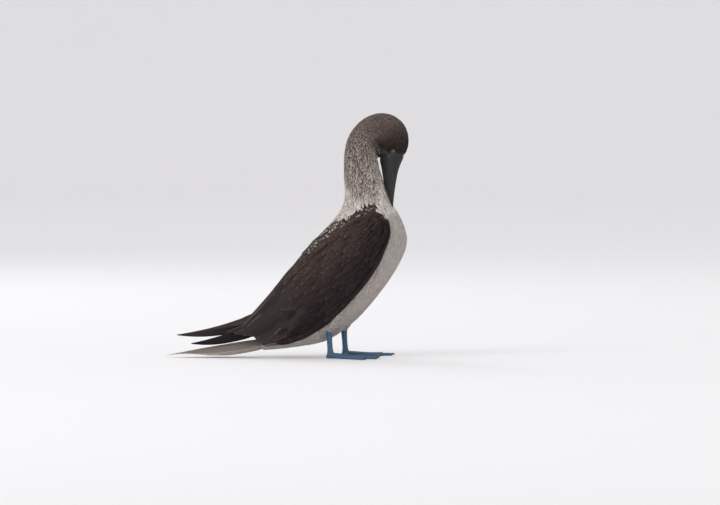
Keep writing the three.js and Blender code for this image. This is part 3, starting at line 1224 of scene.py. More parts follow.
@dataclass(frozen=True)
class VaneShape:
    """The build of one kind of feather.

    Its rows run from 0 at the root to 1 at the tip. The profile gives the width on each row, and
    the camber is a share of it. The thickness is in millimetres.
    """

    rows: tuple[float, ...]
    profile: Callable[[Array], Array]
    columns: int = 3
    camber: float = 0.25
    thickness: float = 0.25

    def ring(self) -> tuple[Array, Array]:
        """Lays out the points of one section.

        Returns:
            Where they lie across the vane, and 1 or -1 for its upper or under face.
        """
        top = np.linspace(-1, 1, self.columns)
        under = top[1:-1][::-1] if self.columns > 3 else top[:0]
        return np.concatenate([top, under]), np.repeat([1.0, -1.0], [len(top), len(under)])

    @staticmethod
    def lance(t: Array) -> Array:
        """A narrow pointed feather's width along its length."""
        return np.clip(t + 0.12, 0, 1) ** 0.5 * np.clip(1.02 - t, 0, 1) ** 0.62 * 1.55

    @staticmethod
    def scale(t: Array) -> Array:
        """A broad round-tipped feather's width along its length."""
        return (0.35 + 0.65 * np.clip(t * 1.7, 0, 1) ** 0.7) * np.clip(1.03 - t**4, 0.05, 1) ** 0.5

    @staticmethod
    def point(t: Array) -> Array:
        """A tail feather's width: long parallel edges and a drawn-out point."""
        rise = 0.45 + 0.55 * np.clip(t * 4, 0, 1)
        return rise * np.clip(1.0 - ((t - 0.62) / 0.385).clip(0, 1) ** 1.5, 0.02, 1)

    @staticmethod
    def blade(t: Array) -> Array:
        """A long flight feather's width along its length."""
        rise = 0.4 + 0.6 * np.clip(t * 4, 0, 1)
        return rise * np.clip(1.0 - ((t - 0.55) / 0.47).clip(0, 1) ** 2.4, 0.03, 1)


class Feathers:
    """A joined piece of many feathers, each a thin closed vane."""

    PATCH = 0.003

    def __init__(self, name: str, shape: VaneShape) -> None:
        """Starts an empty piece.

        Args:
            name: the piece's name.
            shape: the build that its feathers share.
        """
        self.name = name
        self.shape = shape
        self.parts: list[tuple[Array, Array, Array]] = []

    def add(
        self,
        paths: Array,
        normals: Array,
        half_widths: Array,
        marks: Array,
        roots: Array,
    ) -> None:
        """Adds feathers.

        Args:
            paths: each feather's middle line (feathers, rows, 3).
            normals: which way its upper face looks, at the same points.
            half_widths: half its width in metres at each row (feathers, rows).
            marks: chance and tone of each feather (feathers, 2).
            roots: the root's place on an unwrap of the skin (feathers, 2), in any units.
        """
        if not len(paths):
            return
        shape = self.shape
        heading = unit(np.gradient(paths, axis=1))
        out = unit(normals - heading * (normals * heading).sum(axis=2, keepdims=True))
        left = np.cross(out, heading)
        across, face = shape.ring()
        width = half_widths[:, :, None, None]
        bulge = (1 - across**2)[None, None, :, None]
        flat = across[None, None, :, None]
        thick = shape.thickness * MM * face[None, None, :, None] * (0.25 + 0.75 * bulge) / 2
        points = (
            paths[:, :, None]
            + left[:, :, None] * flat * width
            + out[:, :, None] * (shape.camber * width * (bulge - 1) + thick)
        )
        count, rows, ring, _ = points.shape
        along = np.broadcast_to(np.array(shape.rows)[None, :, None], (count, rows, ring))
        side = np.broadcast_to(across[None, None], (count, rows, ring))
        numbers = np.broadcast_to(marks[:, None, None], (count, rows, ring, 2))
        data = np.concatenate([side[..., None], along[..., None], numbers], axis=3)
        self.parts.append((points, data, roots))

    def make(self) -> bpy.types.Object:
        """Joins all feathers into one object with its attributes and its OFBake map.

        Returns:
            The object.
        """
        points, data, roots = (np.concatenate(arrays) for arrays in zip(*self.parts))
        mesh = bpy.data.meshes.new(self.name)
        mesh.vertices.add(points[..., 0].size)
        mesh.vertices.foreach_set("co", points.astype(np.float32).ravel())
        corners = self._add_faces(mesh, *points.shape[:3])
        mesh.update(calc_edges=True)
        mesh.shade_smooth()
        flat = data.reshape(-1, 4)
        for column, name in enumerate(("across", "along", "chance", "tone")):
            layer = mesh.attributes.new(name, "FLOAT", "POINT")
            layer.data.foreach_set("value", flat[:, column].astype(np.float32))
        where = np.repeat(roots, len(flat) // len(roots), axis=0)
        spread = np.stack([flat[:, 0] / 2, flat[:, 1] - 0.5], axis=1) * self.PATCH
        uv = np.clip(0.02 + 0.96 * where + spread, 0.001, 0.999)[corners]
        layer = mesh.uv_layers.new(name="OFBake")
        layer.data.foreach_set("uv", uv.astype(np.float32).ravel())
        made = bpy.data.objects.new(self.name, mesh)
        bpy.context.scene.collection.objects.link(made)
        return made

    @staticmethod
    def _add_faces(mesh: bpy.types.Mesh, count: int, rows: int, ring: int) -> Array:
        """Bridges the rings of every vane and closes its two ends.

        Args:
            mesh: the mesh, which has its vertices.
            count: how many vanes there are.
            rows: the rings of each vane.
            ring: the vertices of each ring.

        Returns:
            The vertex at each corner of the faces.
        """
        k = np.arange(ring)
        r = np.arange(rows - 1)[:, None] * ring
        ahead = (k + 1) % ring
        quads = np.stack([r + k, r + ring + k, r + ring + ahead, r + ahead], axis=2).reshape(-1, 4)
        ends = np.stack([k, (rows - 1) * ring + k[::-1]])
        one = np.concatenate([quads.ravel(), ends.ravel()])
        corners = (one[None] + (np.arange(count) * rows * ring)[:, None]).ravel()
        sizes = np.tile(np.repeat([4, ring], [len(quads), 2]), count)
        starts = np.concatenate([[0], np.cumsum(sizes)[:-1]])
        mesh.loops.add(len(corners))
        mesh.loops.foreach_set("vertex_index", corners.astype(np.int32))
        mesh.polygons.add(len(sizes))
        mesh.polygons.foreach_set("loop_start", starts.astype(np.int32))
        mesh.polygons.foreach_set("loop_total", sizes.astype(np.int32))
        return corners


@dataclass(frozen=True)
class Tract:
    """One region of small feathers on the body, spread evenly and laid along the flow.

    Feathers are measured in millimetres, and stretch and grown are distances along the body from
    the bill. Growth scales the feathers from the first of grown to the last.
    """

    name: str
    stretch: tuple[float, float]
    tone: Callable[[Array, Array], Array]
    patchiness: float
    spacing: float
    length: float
    half_width: float
    lift: float
    sink: float
    seed: int
    shape: VaneShape
    growth: tuple[float, float]
    grown: tuple[float, float]
    ruffle: float
    brown_back: bool = False

    def covers(self, markings: Markings, along: Array, angle: Array) -> Array:
        """Finds where the tract grows.

        Args:
            markings: the bird's markings.
            along: how far along the body each point is, in mm.
            angle: how far round from the back, in degrees.

        Returns:
            True for each point of the tract.
        """
        low, high = self.stretch
        brown = markings.on_mantle(along, angle) >= 0.5
        return (along >= low) & (along < high) & (brown == self.brown_back)


class Plumage:
    """The small feathers of head, neck, breast, belly, back and legs."""

    SMALL = (0.0, 0.3, 0.58, 0.82, 1.0)
    BROAD = (0.0, 0.2, 0.4, 0.6, 0.78, 0.91, 1.0)
    EYE_CLEARANCE = 6.6
    WINGS_FROM = 232
    # Height, radius and count of the rings of feathers round the top of a shank
    LEG_RINGS = ((88, 14.0, 60), (80, 12.5, 54), (72, 10.5, 46), (64, 8.6, 38))

    def __init__(self, bird: Bird) -> None:
        """Sets the tracts.

        Args:
            bird: the surfaces, the markings and the eyes.
        """
        self.bird = bird
        self.lance = VaneShape(self.SMALL, VaneShape.lance, camber=0.3)
        scale = VaneShape(self.BROAD, VaneShape.scale, columns=5, camber=0.16)
        oval = VaneShape(self.SMALL, VaneShape.scale, camber=0.3)
        soft = VaneShape(self.SMALL, VaneShape.lance, camber=0.13, thickness=0.18)
        self.face = Tract(
            "plumage_face",
            stretch=(-math.inf, 46),
            tone=lambda along, angle: ramp(along, 14, 48),
            patchiness=0.18,
            spacing=1.3,
            length=4.6,
            half_width=0.95,
            lift=0.25,
            sink=0.7,
            seed=10,
            shape=self.lance,
            growth=(0.55, 1.2),
            grown=(0, 45),
            ruffle=7.0,
        )
        self.crown = Tract(
            "plumage_crown",
            stretch=(43, 108),
            tone=lambda along, angle: ramp(along, 45, 100),
            patchiness=0.16,
            spacing=1.75,
            length=7.6,
            half_width=1.45,
            lift=0.35,
            sink=0.9,
            seed=11,
            shape=oval,
            growth=(0.8, 1.2),
            grown=(40, 110),
            ruffle=8.0,
        )
        self.neck = Tract(
            "plumage_neck",
            stretch=(105, 234),
            tone=bird.markings.neck_tone,
            patchiness=0.17,
            spacing=2.5,
            length=12.5,
            half_width=2.2,
            lift=0.5,
            sink=1.2,
            seed=12,
            shape=oval,
            growth=(0.72, 1.35),
            grown=(100, 200),
            ruffle=9.0,
        )
        self.mantle = Tract(
            "plumage_mantle",
            stretch=(196, math.inf),
            tone=lambda along, angle: ramp(along, 290, 380),
            patchiness=0.22,
            spacing=5.6,
            length=23.0,
            half_width=5.8,
            lift=0.8,
            sink=1.6,
            seed=13,
            shape=scale,
            growth=(0.8, 1.5),
            grown=(200, 545),
            ruffle=8.0,
            brown_back=True,
        )
        self.breast = Tract(
            "plumage_breast",
            stretch=(232, 345),
            tone=lambda along, angle: np.full(len(along), 0.35),
            patchiness=0.3,
            spacing=1.9,
            length=17.0,
            half_width=2.6,
            lift=0.2,
            sink=1.0,
            seed=14,
            shape=soft,
            growth=(0.8, 1.3),
            grown=(196, 560),
            ruffle=5.0,
        )
        self.belly = replace(self.breast, name="plumage_belly", stretch=(343, math.inf))

    def build(self) -> None:
        """Makes every tract's piece and dresses it."""
        face, crown, neck, mantle, white = (finish.make() for finish in BODY_PLUMAGE)
        self._grow(self.face, face)
        self._grow(self.crown, crown)
        self._grow(self.neck, neck)
        self._grow(self.mantle, mantle)
        self._grow(self.breast, white)
        self._grow(self.belly, white)
        self._trousers(white)

    def _grow(self, tract: Tract, material: bpy.types.Material) -> None:
        """Makes one piece of plumage.

        Args:
            tract: where and how its feathers grow.
            material: its material.
        """
        bird = self.bird
        wanted = tract.covers(bird.markings, *bird.spread) & self._is_feathered()
        roots = bird.outer.scatter(tract.spacing, wanted, tract.seed)
        roots = roots[~bird.under_wing(roots) | (bird.map.locate(roots)[0] < self.WINGS_FROM)]
        chance = np.random.default_rng(tract.seed + 100)
        count = len(roots)
        along, angle, flow = bird.map.locate(roots)
        flow = self._leg_flow(roots, flow)
        _, facing = bird.outer.snap(roots)
        flow = unit(flow - facing * (flow * facing).sum(axis=1, keepdims=True))
        swing = np.radians(chance.normal(0, tract.ruffle, count))[:, None]
        flow = flow * np.cos(swing) + np.cross(facing, flow) * np.sin(swing)
        first, last = tract.growth
        growth = first + (last - first) * ramp(along, *tract.grown)
        growth = growth * chance.uniform(0.85, 1.15, count)
        t = np.array(tract.shape.rows)
        steps = (t[None] * (tract.length * growth * MM)[:, None])[..., None] * flow[:, None]
        placed, normals = bird.outer.snap(roots[:, None] + steps)
        rise = -tract.sink + (tract.sink + tract.lift) * t**0.8
        height = (rise[None] + chance.uniform(-0.25, 0.25, count)[:, None]) * MM
        paths = placed + normals * height[..., None]
        widths = tract.half_width * MM * (growth[:, None] ** 0.7) * tract.shape.profile(t)[None]
        tone = tract.tone(along, angle) + tract.patchiness * chance.normal(0, 1, count)
        marks = np.stack([chance.random(count), np.clip(tone, 0, 1)], axis=1)
        spots = np.stack([along, angle], axis=1)
        low, high = spots.min(axis=0), spots.max(axis=0)
        feathers = Feathers(tract.name, tract.shape)
        feathers.add(paths, normals, widths, marks, (spots - low) / (high - low))
        made = feathers.make()
        keep_above_floor(made)
        dress(made, material)

    def _is_feathered(self) -> Array:
        """Finds the body's faces that are clear of the bare skin and of the eyes.

        Returns:
            True for each face that may grow a feather.
        """
        bird = self.bird
        clear = ~bird.markings.is_bare(*bird.spread)
        for eye in bird.eyes.values():
            clear &= np.linalg.norm(bird.centres - eye.pole, axis=1) > self.EYE_CLEARANCE * MM
        return clear

    def _trousers(self, material: bpy.types.Material) -> None:
        """Hangs white feathers round the top of each shank.

        Args:
            material: the piece's material.
        """
        chance = np.random.default_rng(41)
        feathers = Feathers("plumage_thighs", self.lance)
        t = np.array(self.SMALL)[None, :, None]
        for side in Side:
            low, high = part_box(f"tarsus_{side.word}")
            top = np.array([low.x + 7.0 * MM, (low.y + high.y) / 2, 0.0])
            for height, reach, count in self.LEG_RINGS:
                turn = np.linspace(0, math.tau, count, endpoint=False) + chance.normal(0, 0.05, count)
                out = np.stack([np.cos(turn), np.sin(turn), np.zeros(count)], axis=1)
                start = top + out * reach * MM + [0, 0, height * MM]
                fall = np.array([0.0, 0.0, -1.0]) - out * 0.15
                length = chance.uniform(15, 20, count)[:, None, None] * MM
                paths = start[:, None] + fall[:, None] * t * length
                normals = np.repeat(out[:, None], len(self.SMALL), axis=1)
                widths = np.tile(2.2 * MM * self.lance.profile(t[..., 0]), (count, 1))
                marks = np.stack([chance.random(count), chance.uniform(0.2, 0.8, count)], axis=1)
                spread = np.stack([turn / math.tau % 1.0, np.full(count, (90 - height) / 28)], axis=1)
                feathers.add(paths, normals, widths, marks, spread)
        dress(feathers.make(), material)

    @staticmethod
    def _leg_flow(points: Array, flow: Array) -> Array:
        """Turns the flow downwards on the thighs.

        Args:
            points: where the feathers start.
            flow: which way they lie.

        Returns:
            Which way they lie with the thighs' own fall.
        """
        down = np.array([0.15, 0.0, -1.0])
        for side in Side:
            low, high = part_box(f"thigh_{side.word}")
            middle = np.array((low + high) / 2)
            near = 1 - ramp(np.linalg.norm(points - middle, axis=1), 18 * MM, 34 * MM)
            near *= 1 - ramp(points[:, 2], 60 * MM, 85 * MM)
            flow = flow * (1 - near[:, None]) + down * near[:, None]
        return unit(flow)


@dataclass
class WingTract:
    """One kind of covert, spread over a stretch of the wing. Measures are in millimetres."""

    name: str
    stretch: tuple[float, float]
    spacing: float
    length: tuple[float, float]
    half_width: float
    sink: float
    lift: float
    shape: VaneShape
    seed: int


@dataclass
class Wing:
    """A folded wing's feathers, laid from the wrist back over the rump.

    A place on the wing is how far along it is, from 0 at the wrist to 1 at the hind end, and how
    far down, from 0 at the upper edge to 1 at the lower. Measures are in millimetres.
    """

    bird: Bird
    side: Side
    upper: tuple[tuple[float, float], ...] = (
        (78, 254),
        (60, 257),
        (35, 249),
        (10.5, 235),
        (-38.5, 195),
        (-82, 153),
        (-121, 106),
        (-166, 56),
    )
    lower: tuple[tuple[float, float], ...] = (
        (91, 239),
        (93, 220),
        (88.5, 200),
        (65, 151),
        (24.5, 101),
        (-28, 53),
        (-86, 25),
        (-141, 21),
    )
    span: float = 335.0
    columns: int = 120
    across: int = 40
    edge_share: float = 0.13
    edge_depth: float = 4.5

    FINE = (0.0, 0.2, 0.4, 0.6, 0.78, 0.91, 1.0)
    PAST_END = np.array([-0.975, 0.0, -0.2])
    # Start and end along the wing, and the distance from the middle of the back
    ROOF = (
        (0.2, 0.5, 15),
        (0.3, 0.62, 14),
        (0.4, 0.74, 13),
        (0.5, 0.86, 12),
        (0.58, 0.96, 10),
        (0.64, 1.05, 8.5),
        (0.34, 0.66, 6),
        (0.46, 0.82, 5),
        (0.56, 0.99, 3.5),
    )

    def __post_init__(self) -> None:
        """Spaces the wing's edges, maps its face and sets its tracts."""
        self.top = smooth_track(PLACE.all(self.upper), 200)
        self.bottom = smooth_track(PLACE.all(self.lower), 200)
        self.us = np.linspace(0, 1, self.columns)
        self.vs = np.linspace(0, 1, self.across)
        u, v = np.meshgrid(self.us, self.vs, indexing="ij")
        self.grid_place = np.stack([u.ravel(), v.ravel()], axis=1)
        face = self._flat(u, v)
        self.grid = KDTree(face.shape[0] * face.shape[1])
        for index, (x, _, z) in enumerate(face.reshape(-1, 3).tolist()):
            self.grid.insert((x, 0.0, z), index)
        self.grid.balance()
        face[..., 1] = self._outer_side(face)
        slope_u, slope_v = np.gradient(face, axis=0), np.gradient(face, axis=1)
        normals = unit(np.cross(slope_v, slope_u))
        normals *= np.sign(normals[..., 1:2]) * self.side.value
        normals[..., 1] = self.side.value * np.maximum(np.abs(normals[..., 1]), 0.35)
        self.face, self.facing = face, unit(normals)
        small = VaneShape(self.FINE, VaneShape.scale, camber=0.16)
        middle = VaneShape(self.FINE, VaneShape.scale, columns=5, camber=0.12, thickness=0.3)
        self.tracts = (
            WingTract("greater", (0.34, 0.66), 11.5, (58, 74), 8.4, 2.4, 0.55, middle, 22),
            WingTract("median", (0.14, 0.46), 7.4, (32, 42), 5.8, 2.0, 0.75, middle, 23),
            WingTract("lesser", (0.0, 0.2), 4.4, (13, 24), 3.6, 1.5, 0.8, small, 24),
        )

    def _outer_side(self, flat: Array) -> Array:
        """Measures how far out the wing lies, smoothed and drawn in at its edges.

        Args:
            flat: a grid of points in the middle plane, along and down the wing.

        Returns:
            The y of the wing's outer face at each of them.
        """
        side = self.side.value
        surface = self.bird.wings[self.side]
        way = Vector((0, -side, 0))
        reach = np.full(flat.shape[:2], np.nan)
        for (i, j), _ in np.ndenumerate(reach):
            x, _, z = flat[i, j]
            spot, _, _, _ = surface.tree.ray_cast(Vector((x, PLACE.y + side * 0.12, z)), way, 0.12)
            if spot is not None and 0.1 < self.vs[j] < 0.93 and self.us[i] < 0.975:
                reach[i, j] = spot.y
        for row in reach:
            known = np.isfinite(row)
            if known.any():
                row[:] = np.interp(self.vs, self.vs[known], row[known])
        known = np.isfinite(reach[:, 0])
        for column in reach.T:
            column[:] = np.interp(self.us, self.us[known], column[known])
        for _ in range(4):
            padded = np.pad(reach, 1, mode="edge")
            reach = (padded[:-2, 1:-1] + padded[2:, 1:-1] + padded[1:-1, :-2] + padded[1:-1, 2:]) / 4
        edge = np.clip(1 - np.minimum(self.vs, 1 - self.vs) / self.edge_share, 0, 1) ** 2
        return reach - side * self.edge_depth * MM * edge[None]

    def _flat(self, along: Array, down: Array) -> Array:
        """Finds points between the wing's edges, in the middle plane of the bird.

        Args:
            along: how far along the wing.
            down: how far down it.

        Returns:
            The points.
        """
        spot = np.clip(along, 0, 1) * (len(self.top) - 1)
        index = np.arange(len(self.top))
        top, bottom = (read_line(line, index, spot) for line in (self.top, self.bottom))
        return top * (1 - down[..., None]) + bottom * down[..., None]

    def point(self, along: Array, down: Array) -> tuple[Array, Array]:
        """Finds points on the wing's outer face.

        Args:
            along: how far along the wing; past 1 it runs straight on.
            down: how far down it.

        Returns:
            The points and the surface's normals there.
        """
        i = np.clip(along, 0, 0.9999) * (self.columns - 1)
        j = np.clip(down, 0, 0.9999) * (self.across - 1)
        a, b = i.astype(int), j.astype(int)
        p, q = (i - a)[..., None], (j - b)[..., None]

        def read(grid: Array) -> Array:
            """The grid's value between its nodes."""
            near, far = (grid[k, b] * (1 - q) + grid[k, b + 1] * q for k in (a, a + 1))
            return near * (1 - p) + far * p

        over = np.clip(along - 1, 0, None)[..., None] * self.span * MM
        points = read(self.face) + over * (self.PAST_END - [0, 0.06 * self.side.value, 0])
        return points, unit(read(self.facing))

    def build(self) -> None:
        """Makes the flight feathers, each tract of coverts and the long feathers over the back."""
        coverts = PlumageFinish(
            f"wing_coverts_{self.side.word}",
            core=(0.018, 0.0128, 0.0135),
            rim=(0.033, 0.024, 0.0235),
            pale_core=(0.048, 0.0315, 0.0275),
            pale_rim=(0.088, 0.061, 0.052),
            rim_from=0.6,
            rim_to=1.0,
            tip_from=0.86,
            variation=0.4,
            roughness=0.72,
        ).make()
        flight = PlumageFinish(
            f"tertials_{self.side.word}",
            core=(0.022, 0.0165, 0.0165),
            rim=(0.07, 0.052, 0.045),
            pale_core=(0.034, 0.025, 0.0235),
            pale_rim=(0.24, 0.19, 0.16),
            rim_from=0.77,
            rim_to=1.0,
            tip_from=0.965,
            variation=0.35,
            roughness=0.66,
            barbs=110.0,
        ).make()
        dress(self._secondaries(), flight)
        for tract in self.tracts:
            dress(self._tract(tract), coverts)
        dress(self._tertials(), flight)

    def _laid(
        self,
        name: str,
        shape: VaneShape,
        lines: tuple[Array, Array],
        rise: Array,
        widths: Array,
        marks: Array,
    ) -> bpy.types.Object:
        """Lays feathers along lines on the wing.

        Args:
            name: the piece's name.
            shape: the feathers' build.
            lines: how far along and how far down each feather's middle line is, row by row.
            rise: the height above the wing in mm (feathers, rows).
            widths: half widths in metres (feathers, rows).
            marks: chance and tone of each feather.

        Returns:
            The joined piece.
        """
        points, normals = self.point(*lines)
        paths = points + normals * (rise * MM)[..., None]
        spots = np.stack([lines[0][:, 0], lines[1][:, 0]], axis=1)
        low, high = spots.min(axis=0), spots.max(axis=0)
        feathers = Feathers(f"wing_{self.side.word}_{name}", shape)
        feathers.add(paths, normals, widths, marks, (spots - low) / (high - low))
        return feathers.make()

    def _secondaries(self) -> bpy.types.Object:
        """Lays the long parallel flight feathers whose tips end the wing in a slanting row.

        Returns:
            The joined piece.
        """
        count = 15
        chance = np.random.default_rng(21)
        shape = VaneShape(tuple(np.linspace(0, 1, 24)), VaneShape.blade, columns=5, camber=0.1)
        t = np.array(shape.rows)[None]
        share = np.linspace(0, 1, count)[:, None]
        root = 0.46 + 0.12 * share
        tip = 1.03 - 0.19 * share**1.5 + chance.normal(0, 0.006, (count, 1))
        down_root = 0.06 + 0.86 * share
        down_tip = 0.1 + 0.86 * share**0.9
        lines = (root + (tip - root) * t, down_root + (down_tip - down_root) * t)
        rise = -2.6 + 2.6 * t**0.6 - 0.9 * share
        widths = 9.0 * MM * shape.profile(t) * np.ones((count, 1))
        marks = np.stack([chance.random(count), 0.15 + 0.2 * chance.random(count)], axis=1)
        return self._laid("secondaries", shape, lines, rise, widths, marks)

    def _tertials(self) -> bpy.types.Object:
        """Lays pale-edged feathers over the hind end and over the gap along the back.

        Returns:
            The joined piece.
        """
        chance = np.random.default_rng(29)
        shape = VaneShape(tuple(np.linspace(0, 1, 26)), VaneShape.blade, columns=7, camber=0.12)
        t = np.array(shape.rows)[None]
        count = 6
        share = np.linspace(0, 1, count)[:, None]
        root = 0.53 + 0.05 * share
        tip = 1.1 - 0.17 * share + chance.normal(0, 0.008, (count, 1))
        down_root = 0.09 + 0.42 * share
        down_tip = 0.14 + 0.66 * share
        lines = (root + (tip - root) * t, down_root + (down_tip - down_root) * t)
        points, normals = self.point(*lines)
        rise = -1.6 + (3.2 - 1.3 * share) * t**0.5
        paths = points + normals * (rise * MM)[..., None]
        widths = 10.0 * MM * shape.profile(t) * np.ones((count, 1))
        roofs, ups, spans = self._roof(t, chance)
        paths = np.concatenate([paths, roofs])
        normals = np.concatenate([normals, ups])
        widths = np.concatenate([widths, spans])
        total = len(paths)
        marks = np.stack([chance.random(total), 0.55 + 0.45 * chance.random(total)], axis=1)
        spread = np.stack([np.linspace(0, 1, total), np.arange(total) % 4 / 3], axis=1)
        feathers = Feathers(f"wing_{self.side.word}_tertials", shape)
        feathers.add(paths, normals, widths, marks, spread)
        return feathers.make()

    def _roof(self, t: Array, chance: np.random.Generator) -> tuple[Array, Array, Array]:
        """Lays feathers along the wing's upper edge that close the gap to the other wing.

        Args:
            t: the rows, 0 at the root to 1 at the tip.
            chance: the source of random numbers.

        Returns:
            Their middle lines, their normals and their half widths.
        """
        starts, ends, inner = np.array(self.ROOF).T
        along = starts[:, None] + (ends - starts)[:, None] * t
        ridge = self._flat(np.minimum(along, 0.985), np.zeros_like(along))
        ahead = self._flat(np.minimum(along + 0.01, 0.995), np.zeros_like(along))
        heading = unit(ahead - ridge)
        up = np.stack([-heading[..., 2], np.zeros_like(along), heading[..., 0]], axis=-1)
        up = up * np.sign(up[..., 2:3])
        lie = np.where(inner > 7, 1.2, -1.6)[:, None] + chance.normal(0, 0.25, (len(starts), 1))
        rise = lie - 3.2 + 3.2 * t**0.5
        over = np.clip(along - 0.985, 0, None)[..., None] * self.span * MM
        paths = ridge + up * (rise * MM)[..., None] + over * self.PAST_END
        narrow = 1 - 0.55 * ramp(along, 0.55, 1.0)
        side = self.side.value
        paths[..., 1] = PLACE.y + side * (inner[:, None] * narrow + 1.5) * MM
        normals = unit(up + np.array([0.0, 0.5 * side, 0.0]) * (inner > 7)[:, None, None])
        widths = (8.5 - 1.5 * ramp(along, 0.6, 1.0)) * MM * VaneShape.blade(t)
        return paths, normals, widths

    def _tract(self, tract: WingTract) -> bpy.types.Object:
        """Spreads one kind of covert over its stretch of the wing.

        Args:
            tract: where and how the coverts grow.

        Returns:
            The joined piece.
        """
        surface = self.bird.wings[self.side]
        side = self.side.value
        centres = surface.centres()
        u, _ = self._place(centres)
        first, last = tract.stretch
        wanted = ((centres[:, 1] - PLACE.y) * side > 24 * MM) & (u >= first) & (u < last)
        chance = np.random.default_rng(tract.seed)
        roots = surface.scatter(tract.spacing, wanted, tract.seed)
        _, facing = surface.snap(roots)
        u, v = self._place(roots[facing[:, 1] * side > 0.15])
        inside = (v < 0.94) & (v > 0.03)
        edge_u, edge_v = self._edge_rows(tract)
        u, v = np.concatenate([u[inside], edge_u]), np.concatenate([v[inside], edge_v])
        share = np.clip((u - first) / (last - first), 0, 1)
        length = tract.length[0] + (tract.length[1] - tract.length[0]) * share
        length = (length * chance.uniform(0.93, 1.07, len(u)))[:, None]
        t = np.array(tract.shape.rows)[None]
        drift = 0.05 * (0.5 - v)[:, None] * np.clip(1 - u * 2, 0, 1)[:, None]
        lines = (u[:, None] + t * length / self.span, v[:, None] + t * drift)
        jitter = chance.uniform(-0.15, 0.15, (len(u), 1))
        rise = -tract.sink + (tract.sink + tract.lift) * t**0.7 + jitter
        widths = tract.half_width * MM * tract.shape.profile(t) * chance.uniform(0.92, 1.08, (len(u), 1))
        tone = 0.95 * (1 - ramp(v, 0.15, 0.8)) * (1 - 0.45 * ramp(u, 0.3, 0.7))
        tone = np.clip(tone + chance.normal(0, 0.1, len(u)), 0, 1)
        marks = np.stack([chance.random(len(u)), tone], axis=1)
        return self._laid(tract.name, tract.shape, lines, rise, widths, marks)

    def _edge_rows(self, tract: WingTract) -> tuple[Array, Array]:
        """Spaces roots evenly along the wing's lower edge, and along the fore part of the upper.

        Args:
            tract: the coverts that they belong to.

        Returns:
            How far along and how far down the wing each root is.
        """
        u = np.arange(*tract.stretch, 0.62 * tract.spacing / self.span)
        breadth = np.linalg.norm(self._flat(u, np.zeros_like(u)) - self._flat(u, np.ones_like(u)), axis=1)
        inset = np.clip(0.8 * tract.half_width * MM / breadth, 0.02, 0.3)
        upper = u < 0.5
        return np.concatenate([u, u[upper]]), np.concatenate([1 - inset, inset[upper]])

    def _place(self, points: Array) -> tuple[Array, Array]:
        """Tells how far along and how far down the wing points are."""
        nearest = [self.grid.find((x, 0.0, z))[1] for x, _, z in points.tolist()]
        return self.grid_place[nearest, 0], self.grid_place[nearest, 1]


@dataclass
class Primaries:
    """The closed fan of flight feathers that reaches back over the tail.

    Measures are in millimetres. Each feather is shorter than the one below it and lies a step
    above and outside it.
    """

    side: Side
    count: int = 9
    half_width: float = 7.4
    shortening: float = 0.058
    step_up: float = 1.75
    step_out: float = 0.7

    LINES = {
        Side.RIGHT: (
            (-66, 84, -13),
            (-115, 60, -10),
            (-156, 43, -7),
            (-178, 37.5, -8),
            (-205, 32.5, -9.5),
            (-232, 29, -9),
            (-257, 27, -7),
        ),
        Side.LEFT: (
            (-66, 100, 13),
            (-115, 78, 10),
            (-157, 58, 6),
            (-184, 51, 8),
            (-215, 46, 9.5),
            (-248, 43, 8),
            (-282, 41.5, 6.5),
        ),
    }

    def build(self) -> None:
        """Lays the feathers, the longest lowest and outermost."""
        rows = tuple(np.linspace(0, 1, 44))
        shape = VaneShape(rows, VaneShape.blade, columns=7, camber=0.14, thickness=0.6)
        line = smooth_track(PLACE.all(self.LINES[self.side]), 300)
        finish = PlumageFinish(
            f"primaries_{self.side.word}",
            core=(0.0135, 0.011, 0.0145),
            rim=(0.05, 0.04, 0.042),
            pale_core=(0.05, 0.041, 0.039),
            pale_rim=(0.11, 0.088, 0.078),
            rim_from=0.84,
            rim_to=1.02,
            tip_from=0.975,
            variation=0.35,
            roughness=0.55,
            barbs=90.0,
        ).make()
        paths, normals, widths, marks = [], [], [], []
        t = np.array(rows)
        for k in range(self.count):
            reach = 1.0 - self.shortening * k
            path = read_line(line, np.arange(len(line)), t * reach * (len(line) - 1))
            path[:, 2] += ((self.step_up * k - 2.5) * ramp(t, 0.25, 0.9)) * MM
            path[:, 1] += self.side.value * (self.step_out * k - 1.2) * MM
            paths.append(path)
            normals.append(np.tile([0.0, self.side.value, 0.25], (len(t), 1)))
            widths.append(self.half_width * MM * VaneShape.blade(t) * (1 - 0.02 * k))
            # painted light and shade: the far (left) fan takes the pale pair as if lit from above, the
            # near (right) fan the dark pair as painted shade
            marks.append((0.3 + 0.06 * k, 0.85 if self.side is Side.LEFT else 0.12))
        feathers = Feathers(f"primaries_fan_{self.side.word}", shape)
        spread = np.linspace(0.02, 0.98, self.count)
        roots = np.stack([spread, spread[::-1]], axis=1)
        paths, normals, widths, marks = map(np.array, (paths, normals, widths, marks))
        feathers.add(paths, unit(normals), widths, marks, roots)
        made = feathers.make()
        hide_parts(f"primaries_{self.side.word}")
        dress(made, finish)


